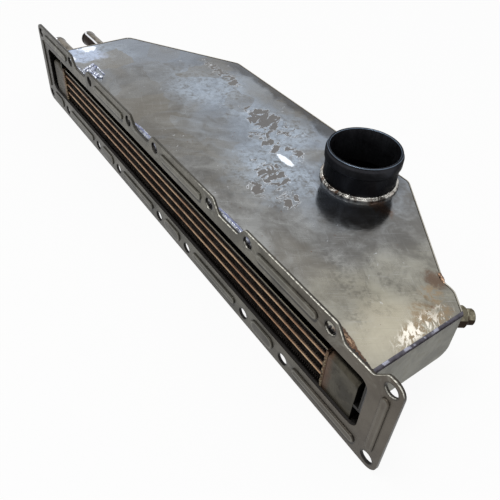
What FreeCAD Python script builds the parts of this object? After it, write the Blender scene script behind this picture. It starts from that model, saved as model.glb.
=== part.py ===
"""Engine aftercooler: a charge-air cooler core welded behind a bolting flange.

Frame: the origin is the centre of the bolt pattern on the flange's front face. X runs along the
flange, with the hose stub and the sensor port towards +X, Y runs from the front face back into the
plenum, and Z is up. All sizes are millimetres.
"""

import FreeCAD, Part
import math
import os

import Sketcher
from FreeCAD import Placement, Rotation, Vector

SIZES = {
    # Mounting flange: six cylinders at 120 mm span the end bolt columns
    "bolt_span": 720.0,
    "row_spacing": 98.0,
    "bolt_hole": 13.0,
    "pair_gap": 66.0,
    "edge_margin": 11.5,
    "flange_sheet": 3.0,
    "flange_corner": 12.0,
    "window_side": 18.0,
    "window_gap": 16.3,
    "window_corner": 10.0,
    "scallop_depth": 14.0,
    "scallop_floor": 32.0,
    "scallop_mouth": 54.0,
    "scallop_round": 6.0,
    "bead_height": 1.6,
    "bead_length": 84.0,
    "bead_width": 9.5,
    "bead_inset": 2.5,
    "bead_wall": 1.5,
    "bead_round": 1.1,
    "oval_length": 36.0,
    "oval_width": 15.0,
    "end_bead_length": 74.0,
    "end_bead_width": 8.0,
    "end_bead_inset": 1.0,
    # Plenum: a flat roof on a folded pan
    "hood_sheet": 2.0,
    "roof_drop": 7.8,
    "floor_rise": 21.5,
    "near_margin": 2.6,
    "far_overlap": 4.0,
    "far_reach": 9.4,
    "corner_reach": 21.2,
    "near_reach": 6.4,
    "plenum_depth": 106.8,
    "far_run": 156.0,
    "near_run": 120.0,
    "slope_end": 33.4,
    "bulge_end": 21.4,
    "neck_rise": 0.4,
    "far_corner": 12.0,
    "back_far_corner": 16.0,
    "back_near_corner": 14.0,
    "neck_corner": 5.0,
    "bulge_corner": 16.0,
    "fold_radius": 10.0,
    # Welds round the roof
    "rim_weld_width": 1.5,
    "rim_weld_rise": 0.6,
    "rim_weld_round": 0.6,
    "seam_width": 2.6,
    "seam_proud": 0.5,
    "seam_rise": 0.4,
    "seam_round": 2.0,
    "joint_weld_leg": 3.5,
    # Tube core
    "core_overhang": 0.8,
    "core_depth": 100.0,
    "bottom_plate": 1.5,
    "top_plate": 2.2,
    "tube_height": 3.6,
    "tube_wall": 0.6,
    "tube_web": 2.0,
    "nose_inset": 1.5,
    "tube_stub": 1.0,
    "fin_height": 9.8,
    "top_fin_height": 6.8,
    "fin_pitch": 7.0,
    "fin_crest": 2.2,
    "fin_foil": 0.5,
    "fin_inset": 1.0,
    "fin_end_gap": 2.0,
    "header_sheet": 3.0,
    # Coolant tanks and tubes
    "tank_gap": 10.0,
    "near_tank_length": 36.0,
    "far_tank_length": 22.0,
    "tank_wall": 1.5,
    "tank_shoulder": 5.5,
    "tank_front": 9.0,
    "tank_bevel": 12.0,
    "tray_sheet": 1.5,
    "ramp_run": 23.0,
    "cap_sheet": 1.5,
    "cap_lap": 2.5,
    "far_cap_depth": 17.0,
    "near_cap_depth": 12.0,
    "water_tube": 22.0,
    "water_tube_wall": 1.5,
    "water_tube_end": 410.0,
    "water_tube_level": 4.0,
    "water_lip_rise": 0.8,
    "water_lip_length": 4.0,
    "front_tube_place": 35.0,
    "rear_tube_place": 14.5,
    "water_weld": 2.0,
    # Hose stub on the roof
    "pipe_bore": 74.4,
    "pipe_wall": 2.2,
    "pipe_height": 40.0,
    "pipe_near_setback": 33.5,
    "pipe_back_setback": 43.3,
    "rim_band_height": 13.0,
    "rim_band_rise": 1.8,
    "rim_band_slope": 2.0,
    "lip_height": 2.2,
    "lip_rise": 0.3,
    "pipe_weld_width": 3.8,
    "pipe_weld_height": 5.0,
    # Sensor port on the near corner
    "port_flats": 17.0,
    "port_length": 8.5,
    "port_bore": 9.0,
    "port_drop": 14.9,
    "port_setback": 10.1,
    "washer_diameter": 14.0,
    "washer_sheet": 1.2,
    "plug_flats": 12.5,
    "plug_head": 6.0,
    "plug_shank": 7.0,
}

MODULES = 4
TUBES = 3
HEX_SIDES = 6
HEX_CORNER = 2 / math.sqrt(3)
NUT_CHAMFER_SLOPE = math.sqrt(3)
# The turned face of a nut as a share of its width across flats
NUT_CHAMFER_START = 0.46
# A fillet weld's section as shares of its width and height, from its toe to its top
WELD_SECTION = ((1.0, 0.0), (0.8, 0.5), (0.35, 0.9), (0.0, 1.0))
WELD_ROUND = 0.9
# Two places closer than this are the same one
CLOSE = 0.02

doc = FreeCAD.newDocument("engine_aftercooler")
sheet = doc.addObject("Spreadsheet::Sheet", "sizes")
for row, (alias, number) in enumerate(SIZES.items(), start=1):
    sheet.set(f"A{row}", alias.replace("_", " "))
    sheet.set(f"B{row}", str(number))
    sheet.setAlias(f"B{row}", alias)
doc.recompute()


class Size:
    """A length that carries its number and the sheet expression that gives it."""

    def __init__(self, number, text):
        self.number = float(number)
        self.text = text

    def with_other(self, other, sign, number):
        text = other.text if isinstance(other, Size) else repr(float(other))
        return Size(number, f"({self.text} {sign} {text})")

    def __add__(self, other):
        return self.with_other(other, "+", self.number + float(other))

    def __sub__(self, other):
        return self.with_other(other, "-", self.number - float(other))

    def __mul__(self, other):
        return self.with_other(other, "*", self.number * float(other))

    def __truediv__(self, other):
        return self.with_other(other, "/", self.number / float(other))

    def __neg__(self):
        return self * -1.0

    def __float__(self):
        return self.number


def size(alias):
    """One cell of the sheet."""
    return Size(getattr(sheet, alias), f"sizes.{alias}")


# Places that several pieces share

zero = Size(0.0, "0.0")
bolt_half = size("bolt_span") / 2
row_half = size("row_spacing") / 2
module = size("bolt_span") / MODULES
flange_half = bolt_half + size("edge_margin")
flange_top = row_half + size("edge_margin")
flange_back = size("flange_sheet")
window_half = bolt_half - size("window_side")
window_top = row_half - size("window_gap")

roof_top = row_half - size("roof_drop")
roof_under = roof_top - size("hood_sheet")
core_bottom = -window_top - size("core_overhang")
floor_under = core_bottom + size("floor_rise")
floor_top = floor_under + size("hood_sheet")
core_rear = flange_back + size("core_depth")

tank_end = window_half - size("tank_gap")
header_outer = tank_end - size("near_tank_length")
header_inner = header_outer - size("header_sheet")
far_tank_end = header_outer + size("far_tank_length")
tank_bottom = core_bottom - size("tray_sheet")

near_outer = window_half - size("near_margin")
near_inner = near_outer - size("hood_sheet")
far_outer = header_outer + size("far_overlap")
far_inner = far_outer - size("hood_sheet")
plenum_back = core_rear + size("plenum_depth")

lowest_tube = core_bottom + size("bottom_plate") + size("fin_height")
stack_pitch = size("fin_height") + size("tube_height")
highest_fin = lowest_tube + stack_pitch * TUBES - size("fin_height")
core_top = highest_fin + size("top_fin_height") + size("top_plate")
nose_front = flange_back + size("nose_inset")
nose_rear = core_rear - size("nose_inset")
fin_front = nose_front + size("fin_inset")
fin_rear = nose_rear - size("fin_inset")
front_place = flange_back + size("front_tube_place")
rear_place = core_rear - size("rear_tube_place")
tank_middle = (front_place + rear_place) / 2

PLANES = {"XY": "XY_Plane", "XZ": "XZ_Plane", "YZ": "YZ_Plane"}
nodes = []


class Drawing:
    """A sketch on one of its body's own planes, with every coordinate bound to the sheet."""

    def __init__(self, body, name, plane, level=None):
        self.sketch = body.newObject("Sketcher::SketchObject", name)
        own = [item for item in body.Origin.OriginFeatures if item.Role == PLANES[plane]]
        self.sketch.AttachmentSupport = [(own[0], "")]
        self.sketch.MapMode = "FlatFace"
        if level is not None:
            # The XZ plane's normal points to -Y, so a level along Y changes sign there
            offset = -level if plane == "XZ" else level
            self.sketch.setExpression("AttachmentOffset.Base.z", offset.text)

    def fix(self, kind, *place, value):
        index = self.sketch.addConstraint(Sketcher.Constraint(kind, *place, float(value)))
        self.sketch.setExpression(f"Constraints[{index}]", value.text)

    def fix_point(self, item, end, x, y):
        self.fix("DistanceX", -1, 1, item, end, value=x)
        self.fix("DistanceY", -1, 1, item, end, value=y)

    def polygon(self, corners):
        points = [Vector(float(x), float(y), 0) for x, y in corners]
        ring = points[1:] + points[:1]
        first = self.sketch.GeometryCount
        for start, end in zip(points, ring):
            self.sketch.addGeometry(Part.LineSegment(start, end), False)
        for index, (x, y) in enumerate(corners):
            after = (index + 1) % len(corners)
            self.sketch.addConstraint(
                Sketcher.Constraint("Coincident", first + index, 2, first + after, 1)
            )
            self.fix_point(first + index, 1, x, y)

    def rectangle(self, left, right, low, high):
        self.polygon([(left, low), (right, low), (right, high), (left, high)])

    def circle(self, x, y, radius):
        centre = Vector(float(x), float(y), 0)
        item = self.sketch.addGeometry(
            Part.Circle(centre, Vector(0, 0, 1), float(radius)), False
        )
        self.fix_point(item, 3, x, y)
        self.fix("Radius", item, value=radius)

    def slot(self, x, y, length, width, upright=False):
        """A round-ended slot about its centre, along the sketch's first or second axis."""
        reach = (length - width) / 2
        radius = width / 2
        centres = [(x, y - reach), (x, y + reach)] if upright else [(x - reach, y), (x + reach, y)]
        turn = math.pi / 2 if upright else 0.0
        arcs = []
        for (cx, cy), start in zip(centres, (math.pi / 2, -math.pi / 2)):
            circle = Part.Circle(Vector(float(cx), float(cy), 0), Vector(0, 0, 1), float(radius))
            arc = Part.ArcOfCircle(circle, start + turn, start + turn + math.pi)
            arcs.append(self.sketch.addGeometry(arc, False))
        ends = [self.sketch.Geometry[arc] for arc in arcs]
        sides = [
            self.sketch.addGeometry(Part.LineSegment(ends[0].EndPoint, ends[1].StartPoint), False),
            self.sketch.addGeometry(Part.LineSegment(ends[1].EndPoint, ends[0].StartPoint), False),
        ]
        for arc, (cx, cy) in zip(arcs, centres):
            self.fix_point(arc, 3, cx, cy)
            self.fix("Radius", arc, value=radius)
        for side, leaving, arriving in zip(sides, arcs, reversed(arcs)):
            self.sketch.addConstraint(Sketcher.Constraint("Tangent", leaving, 2, side, 1))
            self.sketch.addConstraint(Sketcher.Constraint("Tangent", side, 2, arriving, 1))


def new_body(name):
    body = doc.addObject("PartDesign::Body", name)
    body.Label = name
    nodes.append(body)
    return body


def pad(body, drawing, length, back=False):
    feature = body.newObject("PartDesign::Pad", "Pad")
    feature.Profile = drawing.sketch
    feature.Reversed = back
    feature.setExpression("Length", length.text)
    return feature


def pocket(body, drawing, length, back=False):
    feature = body.newObject("PartDesign::Pocket", "Pocket")
    feature.Profile = drawing.sketch
    feature.Reversed = back
    feature.setExpression("Length", length.text)
    return feature


def repeat(body, features, drawing, axis, length, count):
    """Copies of features along one of a sketch's axes."""
    pattern = body.newObject("PartDesign::LinearPattern", "Pattern")
    pattern.Originals = features
    pattern.Direction = (drawing.sketch, [axis])
    pattern.Occurrences = count
    pattern.setExpression("Length", length.text)
    body.Tip = pattern
    return pattern


def fillet(body, feature, radius, chosen):
    """Round the edges of a feature that a test on the edge picks."""
    doc.recompute()
    names = [f"Edge{index}" for index, edge in enumerate(feature.Shape.Edges, 1) if chosen(edge)]
    if not names:
        raise ValueError(f"{body.Label}: no edge to round")
    rounding = body.newObject("PartDesign::Fillet", "Fillet")
    rounding.Base = (feature, names)
    rounding.setExpression("Radius", radius.text)
    return rounding


def near(value, target):
    return abs(value - float(target)) < CLOSE


def edge_along(edge, axis):
    """Whether an edge is straight and runs along x, y or z."""
    box = edge.BoundBox
    spans = {"x": box.XLength, "y": box.YLength, "z": box.ZLength}
    return spans.pop(axis) > CLOSE and max(spans.values()) < CLOSE


def edge_at(edge, x=None, y=None, z=None):
    middle = edge.BoundBox.Center
    wanted = ((middle.x, x), (middle.y, y), (middle.z, z))
    return all(target is None or near(value, target) for value, target in wanted)


def prism_body(name, plane, level, corners, depth, back=False):
    """A body that is one polygon, padded from a level."""
    body = new_body(name)
    drawing = Drawing(body, f"{name}_outline", plane, level)
    drawing.polygon(corners)
    pad(body, drawing, depth, back)
    return body


def made_feature(name, shape):
    feature = doc.addObject("Part::Feature", name)
    feature.Label = name
    feature.Shape = shape
    nodes.append(feature)
    return feature


# Mounting flange

flange = new_body("mounting_flange")
plate = Drawing(flange, "flange_outline", "XZ")
plate.rectangle(-flange_half, flange_half, -flange_top, flange_top)
pad(flange, plate, flange_back, back=True)

window = Drawing(flange, "window", "XZ")
window.rectangle(-window_half, window_half, -window_top, window_top)
pocket(flange, window, flange_back)

# One module of the upper row, and the same turned half round for the lower row
hole_radius = size("bolt_hole") / 2
pair_place = module - size("pair_gap") - bolt_half
next_place = module - bolt_half
module_holes = Drawing(flange, "module_holes", "XZ")
for place in (-bolt_half, pair_place):
    module_holes.circle(place, row_half, hole_radius)
for place in (next_place - module + size("pair_gap"), next_place):
    module_holes.circle(place, -row_half, hole_radius)
hole_pocket = pocket(flange, module_holes, flange_back)

scallop_place = (pair_place + next_place) / 2
scallop_level = flange_top - size("scallop_depth")
scallop = Drawing(flange, "scallop", "XZ")
scallop.polygon(
    [
        (scallop_place - size("scallop_floor") / 2, scallop_level),
        (scallop_place + size("scallop_floor") / 2, scallop_level),
        (scallop_place + size("scallop_mouth") / 2, flange_top),
        (scallop_place - size("scallop_mouth") / 2, flange_top),
    ]
)
scallop_pocket = pocket(flange, scallop, flange_back)

bead_level = row_half - size("bead_inset")
upper_bead_place = (pair_place - bolt_half) / 2
lower_bead_place = next_place - (module - size("pair_gap")) / 2
oval_place = size("pair_gap") / 2 - bolt_half


def module_beads(drawing, margin):
    """The stiffening beads of one module, each smaller all round by a margin."""
    for place, level in ((upper_bead_place, bead_level), (lower_bead_place, -bead_level)):
        drawing.slot(place, level, size("bead_length") - margin * 2, size("bead_width") - margin * 2)
    drawing.slot(
        oval_place, -bead_level, size("oval_length") - margin * 2, size("oval_width") - margin * 2
    )


def end_beads(drawing, margin):
    for side in (-1.0, 1.0):
        drawing.slot(
            (bolt_half - size("end_bead_inset")) * side,
            zero,
            size("end_bead_length") - margin * 2,
            size("end_bead_width") - margin * 2,
            upright=True,
        )


raised = Drawing(flange, "beads", "XZ")
module_beads(raised, zero)
bead_pad = pad(flange, raised, size("bead_height"))
hollow = Drawing(flange, "bead_backs", "XZ", flange_back)
module_beads(hollow, size("bead_wall"))
bead_back = pocket(flange, hollow, size("bead_height"), back=True)
repeat(
    flange,
    [hole_pocket, scallop_pocket, bead_pad, bead_back],
    plate,
    "H_Axis",
    module * (MODULES - 1),
    MODULES,
)

last_holes = Drawing(flange, "last_holes", "XZ")
last_holes.circle(bolt_half, row_half, hole_radius)
last_holes.circle(-bolt_half, -row_half, hole_radius)
pocket(flange, last_holes, flange_back)
end_raised = Drawing(flange, "end_beads", "XZ")
end_beads(end_raised, zero)
pad(flange, end_raised, size("bead_height"))
end_hollow = Drawing(flange, "end_bead_backs", "XZ", flange_back)
end_beads(end_hollow, size("bead_wall"))
flange_blank = pocket(flange, end_hollow, size("bead_height"), back=True)


def scallop_corner(edge):
    """Whether an edge through the sheet is one of the scallops' corners."""
    if not edge_along(edge, "y") or edge.BoundBox.Center.z < float(scallop_level) - CLOSE:
        return False
    for index in range(MODULES):
        centre = float(scallop_place + module * index)
        reach = abs(edge.BoundBox.Center.x - centre)
        if near(reach, size("scallop_floor") / 2) or near(reach, size("scallop_mouth") / 2):
            return True
    return False


def flange_corner(edge):
    middle = edge.BoundBox.Center
    return edge_along(edge, "y") and near(abs(middle.x), flange_half) and near(abs(middle.z), flange_top)


def window_corner(edge):
    middle = edge.BoundBox.Center
    return edge_along(edge, "y") and near(abs(middle.x), window_half) and near(abs(middle.z), window_top)


def bead_edge(edge):
    box = edge.BoundBox
    return near(box.YMin, -size("bead_height")) and near(box.YMax, -size("bead_height"))


rounded = fillet(flange, flange_blank, size("flange_corner"), flange_corner)
rounded = fillet(flange, rounded, size("window_corner"), window_corner)
rounded = fillet(flange, rounded, size("scallop_round"), scallop_corner)
fillet(flange, rounded, size("bead_round"), bead_edge)


# Coolant tanks: cups that open towards the core, the far one narrower behind its front

def shoulder_edge(inset):
    """A test for the tank's upper front edge, on its outside or, drawn in, on its inside."""
    return lambda edge: edge_along(edge, "x") and edge_at(edge, y=flange_back + inset, z=core_top - inset)


def tank(name, outer, inner):
    """A five-sided cup and the full block round it; outer and inner are its plan corners."""
    body = new_body(name)
    outside = Drawing(body, f"{name}_outside", "XY", tank_bottom)
    outside.polygon(outer)
    block = pad(body, outside, core_top - tank_bottom)
    inside = Drawing(body, f"{name}_inside", "XY", core_bottom)
    inside.polygon(inner)
    cup = pocket(body, inside, core_top - core_bottom - size("tank_wall"), back=True)
    shoulder = size("tank_shoulder")
    rounded = fillet(body, cup, shoulder - size("tank_wall"), shoulder_edge(size("tank_wall")))
    fillet(body, rounded, shoulder, shoulder_edge(zero))
    edges = [edge for edge in block.Shape.Edges if shoulder_edge(zero)(edge)]
    return body, block.Shape.makeFillet(float(shoulder), edges)


wall = size("tank_wall")
tank(
    "near_tank",
    [
        (header_outer, flange_back),
        (tank_end, flange_back),
        (tank_end, core_rear),
        (header_outer, core_rear),
    ],
    [
        (header_outer, flange_back + wall),
        (tank_end - wall, flange_back + wall),
        (tank_end - wall, core_rear - wall),
        (header_outer, core_rear - wall),
    ],
)

bevel_start = flange_back + size("tank_front")
bevel_end = bevel_start + size("tank_bevel")
far_tank, far_envelope = tank(
    "far_tank",
    [
        (-header_outer, flange_back),
        (-header_outer, core_rear),
        (-far_tank_end, core_rear),
        (-far_tank_end, bevel_end),
        (-tank_end, bevel_start),
        (-tank_end, flange_back),
    ],
    [
        (-header_outer, flange_back + wall),
        (-header_outer, core_rear - wall),
        (-(far_tank_end - wall), core_rear - wall),
        (-(far_tank_end - wall), bevel_end - wall / 2),
        (-(tank_end - wall), bevel_start - wall / 2),
        (-(tank_end - wall), flange_back + wall),
    ],
)


def water_hole(place):
    """A hole through the far tank's end wall for one coolant tube."""
    drawing = Drawing(far_tank, "water_hole", "YZ", -far_tank_end)
    drawing.circle(place, size("water_tube_level"), size("water_tube") / 2)
    pocket(far_tank, drawing, wall, back=True)


for place in (front_place, rear_place):
    water_hole(place)

baffle_front = tank_middle - wall / 2
prism_body(
    "tank_baffle",
    "XZ",
    baffle_front,
    [
        (-(far_tank_end - wall), core_bottom),
        (-(header_outer + size("tube_stub")), core_bottom),
        (-(header_outer + size("tube_stub")), core_top - wall),
        (-(far_tank_end - wall), core_top - wall),
    ],
    wall,
    back=True,
)

# Coolant tubes, with a weld ring each where they leave the far tank
for name, place in (("front", front_place), ("rear", rear_place)):
    body = new_body(f"water_tube_{name}")
    section = Drawing(body, f"water_tube_{name}_section", "YZ", wall - far_tank_end)
    radius = size("water_tube") / 2
    section.circle(place, size("water_tube_level"), radius)
    section.circle(place, size("water_tube_level"), radius - size("water_tube_wall"))
    pad(body, section, size("water_tube_end") - far_tank_end + wall, back=True)
    lip = Drawing(body, f"water_tube_{name}_lip", "YZ", -size("water_tube_end"))
    lip.circle(place, size("water_tube_level"), radius + size("water_lip_rise"))
    lip.circle(place, size("water_tube_level"), radius - size("water_tube_wall"))
    pad(body, lip, size("water_lip_length"))

    ring = new_body(f"tube_weld_{name}")
    section = Drawing(ring, f"tube_weld_{name}_section", "YZ", -far_tank_end)
    section.circle(place, size("water_tube_level"), radius + size("water_weld"))
    section.circle(place, size("water_tube_level"), radius)
    bead = pad(ring, section, size("water_weld"), back=True)
    outer_end = -far_tank_end - size("water_weld")
    doc.recompute()
    fillet(
        ring,
        bead,
        size("water_weld") * WELD_ROUND,
        lambda edge: near(edge.BoundBox.XMin, outer_end)
        and near(edge.BoundBox.XMax, outer_end)
        and edge.BoundBox.ZLength > float(size("water_tube")) + CLOSE,
    )

# Tube core: flat tubes with rounded noses, fin strips between, side plates and slotted headers

tube_half = header_outer + size("tube_stub")
tube_middle = (nose_front + nose_rear) / 2
tube_depth = nose_rear - nose_front
passage_depth = (tube_depth - size("tube_web")) / 2 - size("tube_wall")
passage_height = size("tube_height") - size("tube_wall") * 2


def tube_level(index):
    return lowest_tube + size("tube_height") / 2 + stack_pitch * index


for index in range(TUBES):
    name = f"flat_tube_{index + 1}"
    body = new_body(name)
    section = Drawing(body, f"{name}_section", "YZ", -tube_half)
    section.slot(tube_middle, tube_level(index), tube_depth, size("tube_height"))
    pad(body, section, tube_half * 2)
    passages = Drawing(body, f"{name}_passages", "YZ", -tube_half)
    reach = (passage_depth + size("tube_web")) / 2
    for place in (tube_middle - reach, tube_middle + reach):
        passages.slot(place, tube_level(index), passage_depth, passage_height)
    pocket(body, passages, tube_half * 2, back=True)

for name, side in (("near", 1.0), ("far", -1.0)):
    body = new_body(f"{name}_header_plate")
    outline = Drawing(body, f"{name}_header_outline", "YZ", header_inner * side)
    outline.rectangle(flange_back, core_rear, core_bottom, core_top)
    pad(body, outline, size("header_sheet"), back=side < 0)
    slots = Drawing(body, f"{name}_header_slots", "YZ", header_inner * side)
    for index in range(TUBES):
        slots.slot(tube_middle, tube_level(index), tube_depth, size("tube_height"))
    pocket(body, slots, size("header_sheet"), back=side > 0)

prism_body(
    "core_bottom_plate",
    "XY",
    core_bottom,
    [
        (-header_inner, flange_back),
        (header_inner, flange_back),
        (header_inner, core_rear),
        (-header_inner, core_rear),
    ],
    size("bottom_plate"),
)
prism_body(
    "core_top_plate",
    "XY",
    core_top - size("top_plate"),
    [
        (-header_inner, nose_front),
        (header_inner, nose_front),
        (header_inner, core_rear),
        (-header_inner, core_rear),
    ],
    size("top_plate"),
)


def fin_wave(low, high):
    """The closed outline of a corrugated foil in X and Z, between two levels."""
    pitch = float(size("fin_pitch"))
    foil = float(size("fin_foil"))
    crest = float(size("fin_crest")) / 2
    width = 2 * (float(header_inner) - float(size("fin_end_gap")))
    waves = int(width // pitch)
    start = -waves * pitch / 2
    # The crest's inner side is shorter than its outer side, so that the legs keep the foil's gauge
    lean = (pitch / 2 - 2 * crest) / (high - low)
    inner = crest - foil * (1 - lean)
    upper = [(start, high)]
    lower = [(start, high - foil)]
    for index in range(waves):
        middle = start + index * pitch
        upper += [(middle + crest, high), (middle + pitch / 2 - inner, low + foil)]
        upper += [(middle + pitch / 2 + inner, low + foil), (middle + pitch - crest, high)]
        lower += [(middle + inner, high - foil), (middle + pitch / 2 - crest, low)]
        lower += [(middle + pitch / 2 + crest, low), (middle + pitch - inner, high - foil)]
    upper.append((start + waves * pitch, high))
    lower.append((start + waves * pitch, high - foil))
    return upper + lower[::-1]


def fin_strip(name, low, high):
    front = float(fin_front)
    points = [Vector(x, front, z) for x, z in fin_wave(float(low), float(high))]
    outline = Part.makePolygon(points + points[:1])
    made_feature(name, Part.Face(outline).extrude(Vector(0, float(fin_rear) - front, 0)))


fin_low = core_bottom + size("bottom_plate")
for index in range(TUBES):
    fin_strip(f"fin_strip_{index + 1}", fin_low, fin_low + size("fin_height"))
    fin_low = fin_low + stack_pitch
fin_strip(f"fin_strip_{TUBES + 1}", fin_low, core_top - size("top_plate"))

# Tray under the core, with a ramp up to the plenum's floor and a cheek at each end

ramp_top = core_rear + size("ramp_run")


def ramp_profile():
    """The tray's section in Y and Z: flat under the core, then sloping up to the floor."""
    thick = size("tray_sheet")
    return [
        (flange_back, tank_bottom),
        (core_rear + thick, tank_bottom),
        (ramp_top, floor_under),
        (ramp_top, floor_under + thick),
        (core_rear, core_bottom),
        (flange_back, core_bottom),
    ]


tray = prism_body("core_tray", "YZ", -header_outer, ramp_profile(), header_outer * 2)
for level in (-header_outer, header_outer - size("tray_sheet")):
    cheek = Drawing(tray, "cheek", "YZ", level)
    cheek.polygon(
        [
            (core_rear, tank_bottom),
            (core_rear + size("tray_sheet"), tank_bottom),
            (ramp_top, floor_under),
            (ramp_top, floor_top),
            (core_rear, floor_top),
        ]
    )
    pad(tray, cheek, size("tray_sheet"))

# Hose stub: a plain tube with a raised band below its lip, in a lumpy ring of weld

def turned_body(name, x, y, z, profile):
    """A body turned about an upright axis from a profile of radius and height."""
    body = new_body(name)
    drawing = Drawing(body, f"{name}_profile", "XZ")
    drawing.polygon(profile)
    turned = body.newObject("PartDesign::Revolution", "Revolution")
    turned.Profile = drawing.sketch
    turned.ReferenceAxis = (drawing.sketch, ["V_Axis"])
    turned.Angle = 360.0
    for axis, value in (("x", x), ("y", y), ("z", z)):
        body.setExpression(f"Placement.Base.{axis}", value.text)
    return body


pipe_x = near_outer - size("slope_end") - size("near_run") - size("pipe_near_setback")
pipe_y = plenum_back - size("pipe_back_setback")
pipe_outer = size("pipe_bore") / 2 + size("pipe_wall")
bore = size("pipe_bore") / 2
band_top = size("pipe_height") - size("lip_height")
band_foot = band_top - size("rim_band_height")
band = pipe_outer + size("rim_band_rise")
lip = pipe_outer + size("lip_rise")
slope = size("rim_band_slope")
turned_body(
    "inlet_pipe",
    pipe_x,
    pipe_y,
    roof_top,
    [
        (bore, -size("hood_sheet")),
        (pipe_outer, -size("hood_sheet")),
        (pipe_outer, band_foot),
        (band, band_foot + slope),
        (band, band_top - slope),
        (lip, band_top),
        (lip, size("pipe_height")),
        (bore, size("pipe_height")),
    ],
)
inlet_weld = turned_body(
    "inlet_weld",
    pipe_x,
    pipe_y,
    roof_top,
    [(pipe_outer, zero)]
    + [
        (pipe_outer + size("pipe_weld_width") * out, size("pipe_weld_height") * up)
        for out, up in WELD_SECTION
    ],
)


# Plenum

def plenum_corners(spread=0.0):
    """Plan corners of the plenum's outside, with a radius each.

    The open front and the near end move outward by spread.
    """
    rear = float(core_rear)
    back = float(plenum_back)
    far_x = -float(far_outer)
    near_x = float(near_outer)
    neck_x = near_x - float(size("slope_end"))
    bulge_x = near_x - float(size("bulge_end"))
    bulge_y = rear + float(size("corner_reach"))
    near_y = rear + float(size("near_reach"))
    end_slope = (near_y - bulge_y) / (near_x - bulge_x)
    front = float(flange_back) - spread
    return [
        (far_x, front, 0.0),
        (near_x + spread, front, 0.0),
        (near_x + spread, near_y + end_slope * spread, 0.0),
        (bulge_x, bulge_y, float(size("bulge_corner"))),
        (neck_x, bulge_y + float(size("neck_rise")), float(size("neck_corner"))),
        (neck_x - float(size("near_run")), back, float(size("back_near_corner"))),
        (far_x + float(size("far_run")), back, float(size("back_far_corner"))),
        (far_x, rear + float(size("far_reach")), float(size("far_corner"))),
    ]


def rounded_wire(corners, level):
    """A closed wire through plan corners, each rounded by its radius."""
    points = [Vector(x, y, level) for x, y, radius in corners]
    edges = []
    trims = []
    for index, (x, y, radius) in enumerate(corners):
        here = points[index]
        back = (points[index - 1] - here).normalize()
        ahead = (points[(index + 1) % len(points)] - here).normalize()
        if radius == 0.0:
            trims.append((here, None, here))
            continue
        half = back.getAngle(ahead) / 2
        reach = radius / math.tan(half)
        inward = (back + ahead).normalize()
        middle = here + inward * (radius / math.sin(half) - radius)
        trims.append((here + back * reach, middle, here + ahead * reach))
    for index, (start, middle, end) in enumerate(trims):
        if middle is not None:
            edges.append(Part.Arc(start, middle, end).toShape())
        edges.append(Part.LineSegment(end, trims[(index + 1) % len(trims)][0]).toShape())
    return Part.Wire(edges)


def plan_prism(low, high, inset=0.0, spread=0.0):
    """The plenum's plan, drawn in by inset, between two levels."""
    wire = rounded_wire(plenum_corners(spread), float(low))
    if inset:
        wire = wire.makeOffset2D(-inset)
    return Part.Face(wire).extrude(Vector(0, 0, float(high) - float(low)))


def rounded_below(solid, radius):
    """Round the edges at a prism's foot."""
    foot = solid.BoundBox.ZMin
    edges = [edge for edge in solid.Edges if near(edge.BoundBox.ZMax, foot)]
    return solid.makeFillet(radius, edges)


def block_between(x, y, z):
    """A box from three pairs of limits."""
    lows = [float(pair[0]) for pair in (x, y, z)]
    spans = [float(pair[1]) - float(pair[0]) for pair in (x, y, z)]
    return Part.makeBox(*spans, Vector(*lows))


SPREAD = 30.0
BEYOND = 1000.0
hood_sheet = float(size("hood_sheet"))
seam_start = near_outer - size("seam_width")
doc.recompute()

# The sensor port stands square on the sloping wall beside the near end
near_corner, bulge = plenum_corners()[2:4]
wall_edge = Vector(near_corner[0], near_corner[1], 0)
up_the_wall = (Vector(bulge[0], bulge[1], 0) - wall_edge).normalize()
port_normal = Vector(up_the_wall.y, -up_the_wall.x, 0)
port_foot = wall_edge + up_the_wall * float(size("port_setback"))
port_foot.z = float(roof_top - size("port_drop"))
port_turn = Rotation(Vector(0, 0, 1), port_normal)

# Dark corner weld along the near end of the roof
seam = plan_prism(roof_under, roof_top + size("seam_rise"), spread=float(size("seam_proud")))
seam = seam.common(block_between((seam_start, BEYOND), (flange_back, BEYOND), (-BEYOND, BEYOND)))
seam_edges = [
    edge
    for edge in seam.Edges
    if edge_along(edge, "y")
    and near(edge.BoundBox.XMax, near_outer + size("seam_proud"))
    and near(edge.BoundBox.ZMax, roof_top + size("seam_rise"))
]
seam = seam.makeFillet(float(size("seam_round")), seam_edges)
made_feature("near_seam_weld", seam)

# Folded pan and the plate that closes its near end
fold = float(size("fold_radius"))
pan_outside = rounded_below(plan_prism(floor_under, roof_under, spread=SPREAD), fold)
pan_blank = plan_prism(floor_top, roof_top, inset=hood_sheet, spread=SPREAD)
pan_inside = rounded_below(pan_blank, fold - hood_sheet)
pan = pan_outside.cut(pan_inside)
pan = pan.common(block_between((-BEYOND, near_inner), (flange_back, BEYOND), (-BEYOND, BEYOND)))
core_bay = block_between((-header_outer, near_inner), (flange_back, core_rear), (tank_bottom, core_top))
ramp_bay = block_between((-header_outer, header_outer), (core_rear, ramp_top), (floor_under, floor_top))
# The bore's tool runs one sheet past the wall on each side
port_bore = Part.makeCylinder(
    float(size("port_bore")) / 2,
    hood_sheet * 3,
    port_foot - port_normal * hood_sheet * 2,
    port_normal,
)
pan = pan.cut([core_bay, ramp_bay, far_envelope, seam, port_bore])
made_feature("plenum_pan", pan)

# The end plate's lip closes the slot beside the near tank
end_slice = block_between((near_inner, near_outer), (flange_back, BEYOND), (floor_under, roof_under))
end_lip = block_between((tank_end, near_inner), (flange_back, core_rear), (floor_under, floor_top))
end_plate = pan_outside.common(end_slice).cut(seam).fuse(end_lip).removeSplitter()
made_feature("near_end_plate", end_plate)

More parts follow.
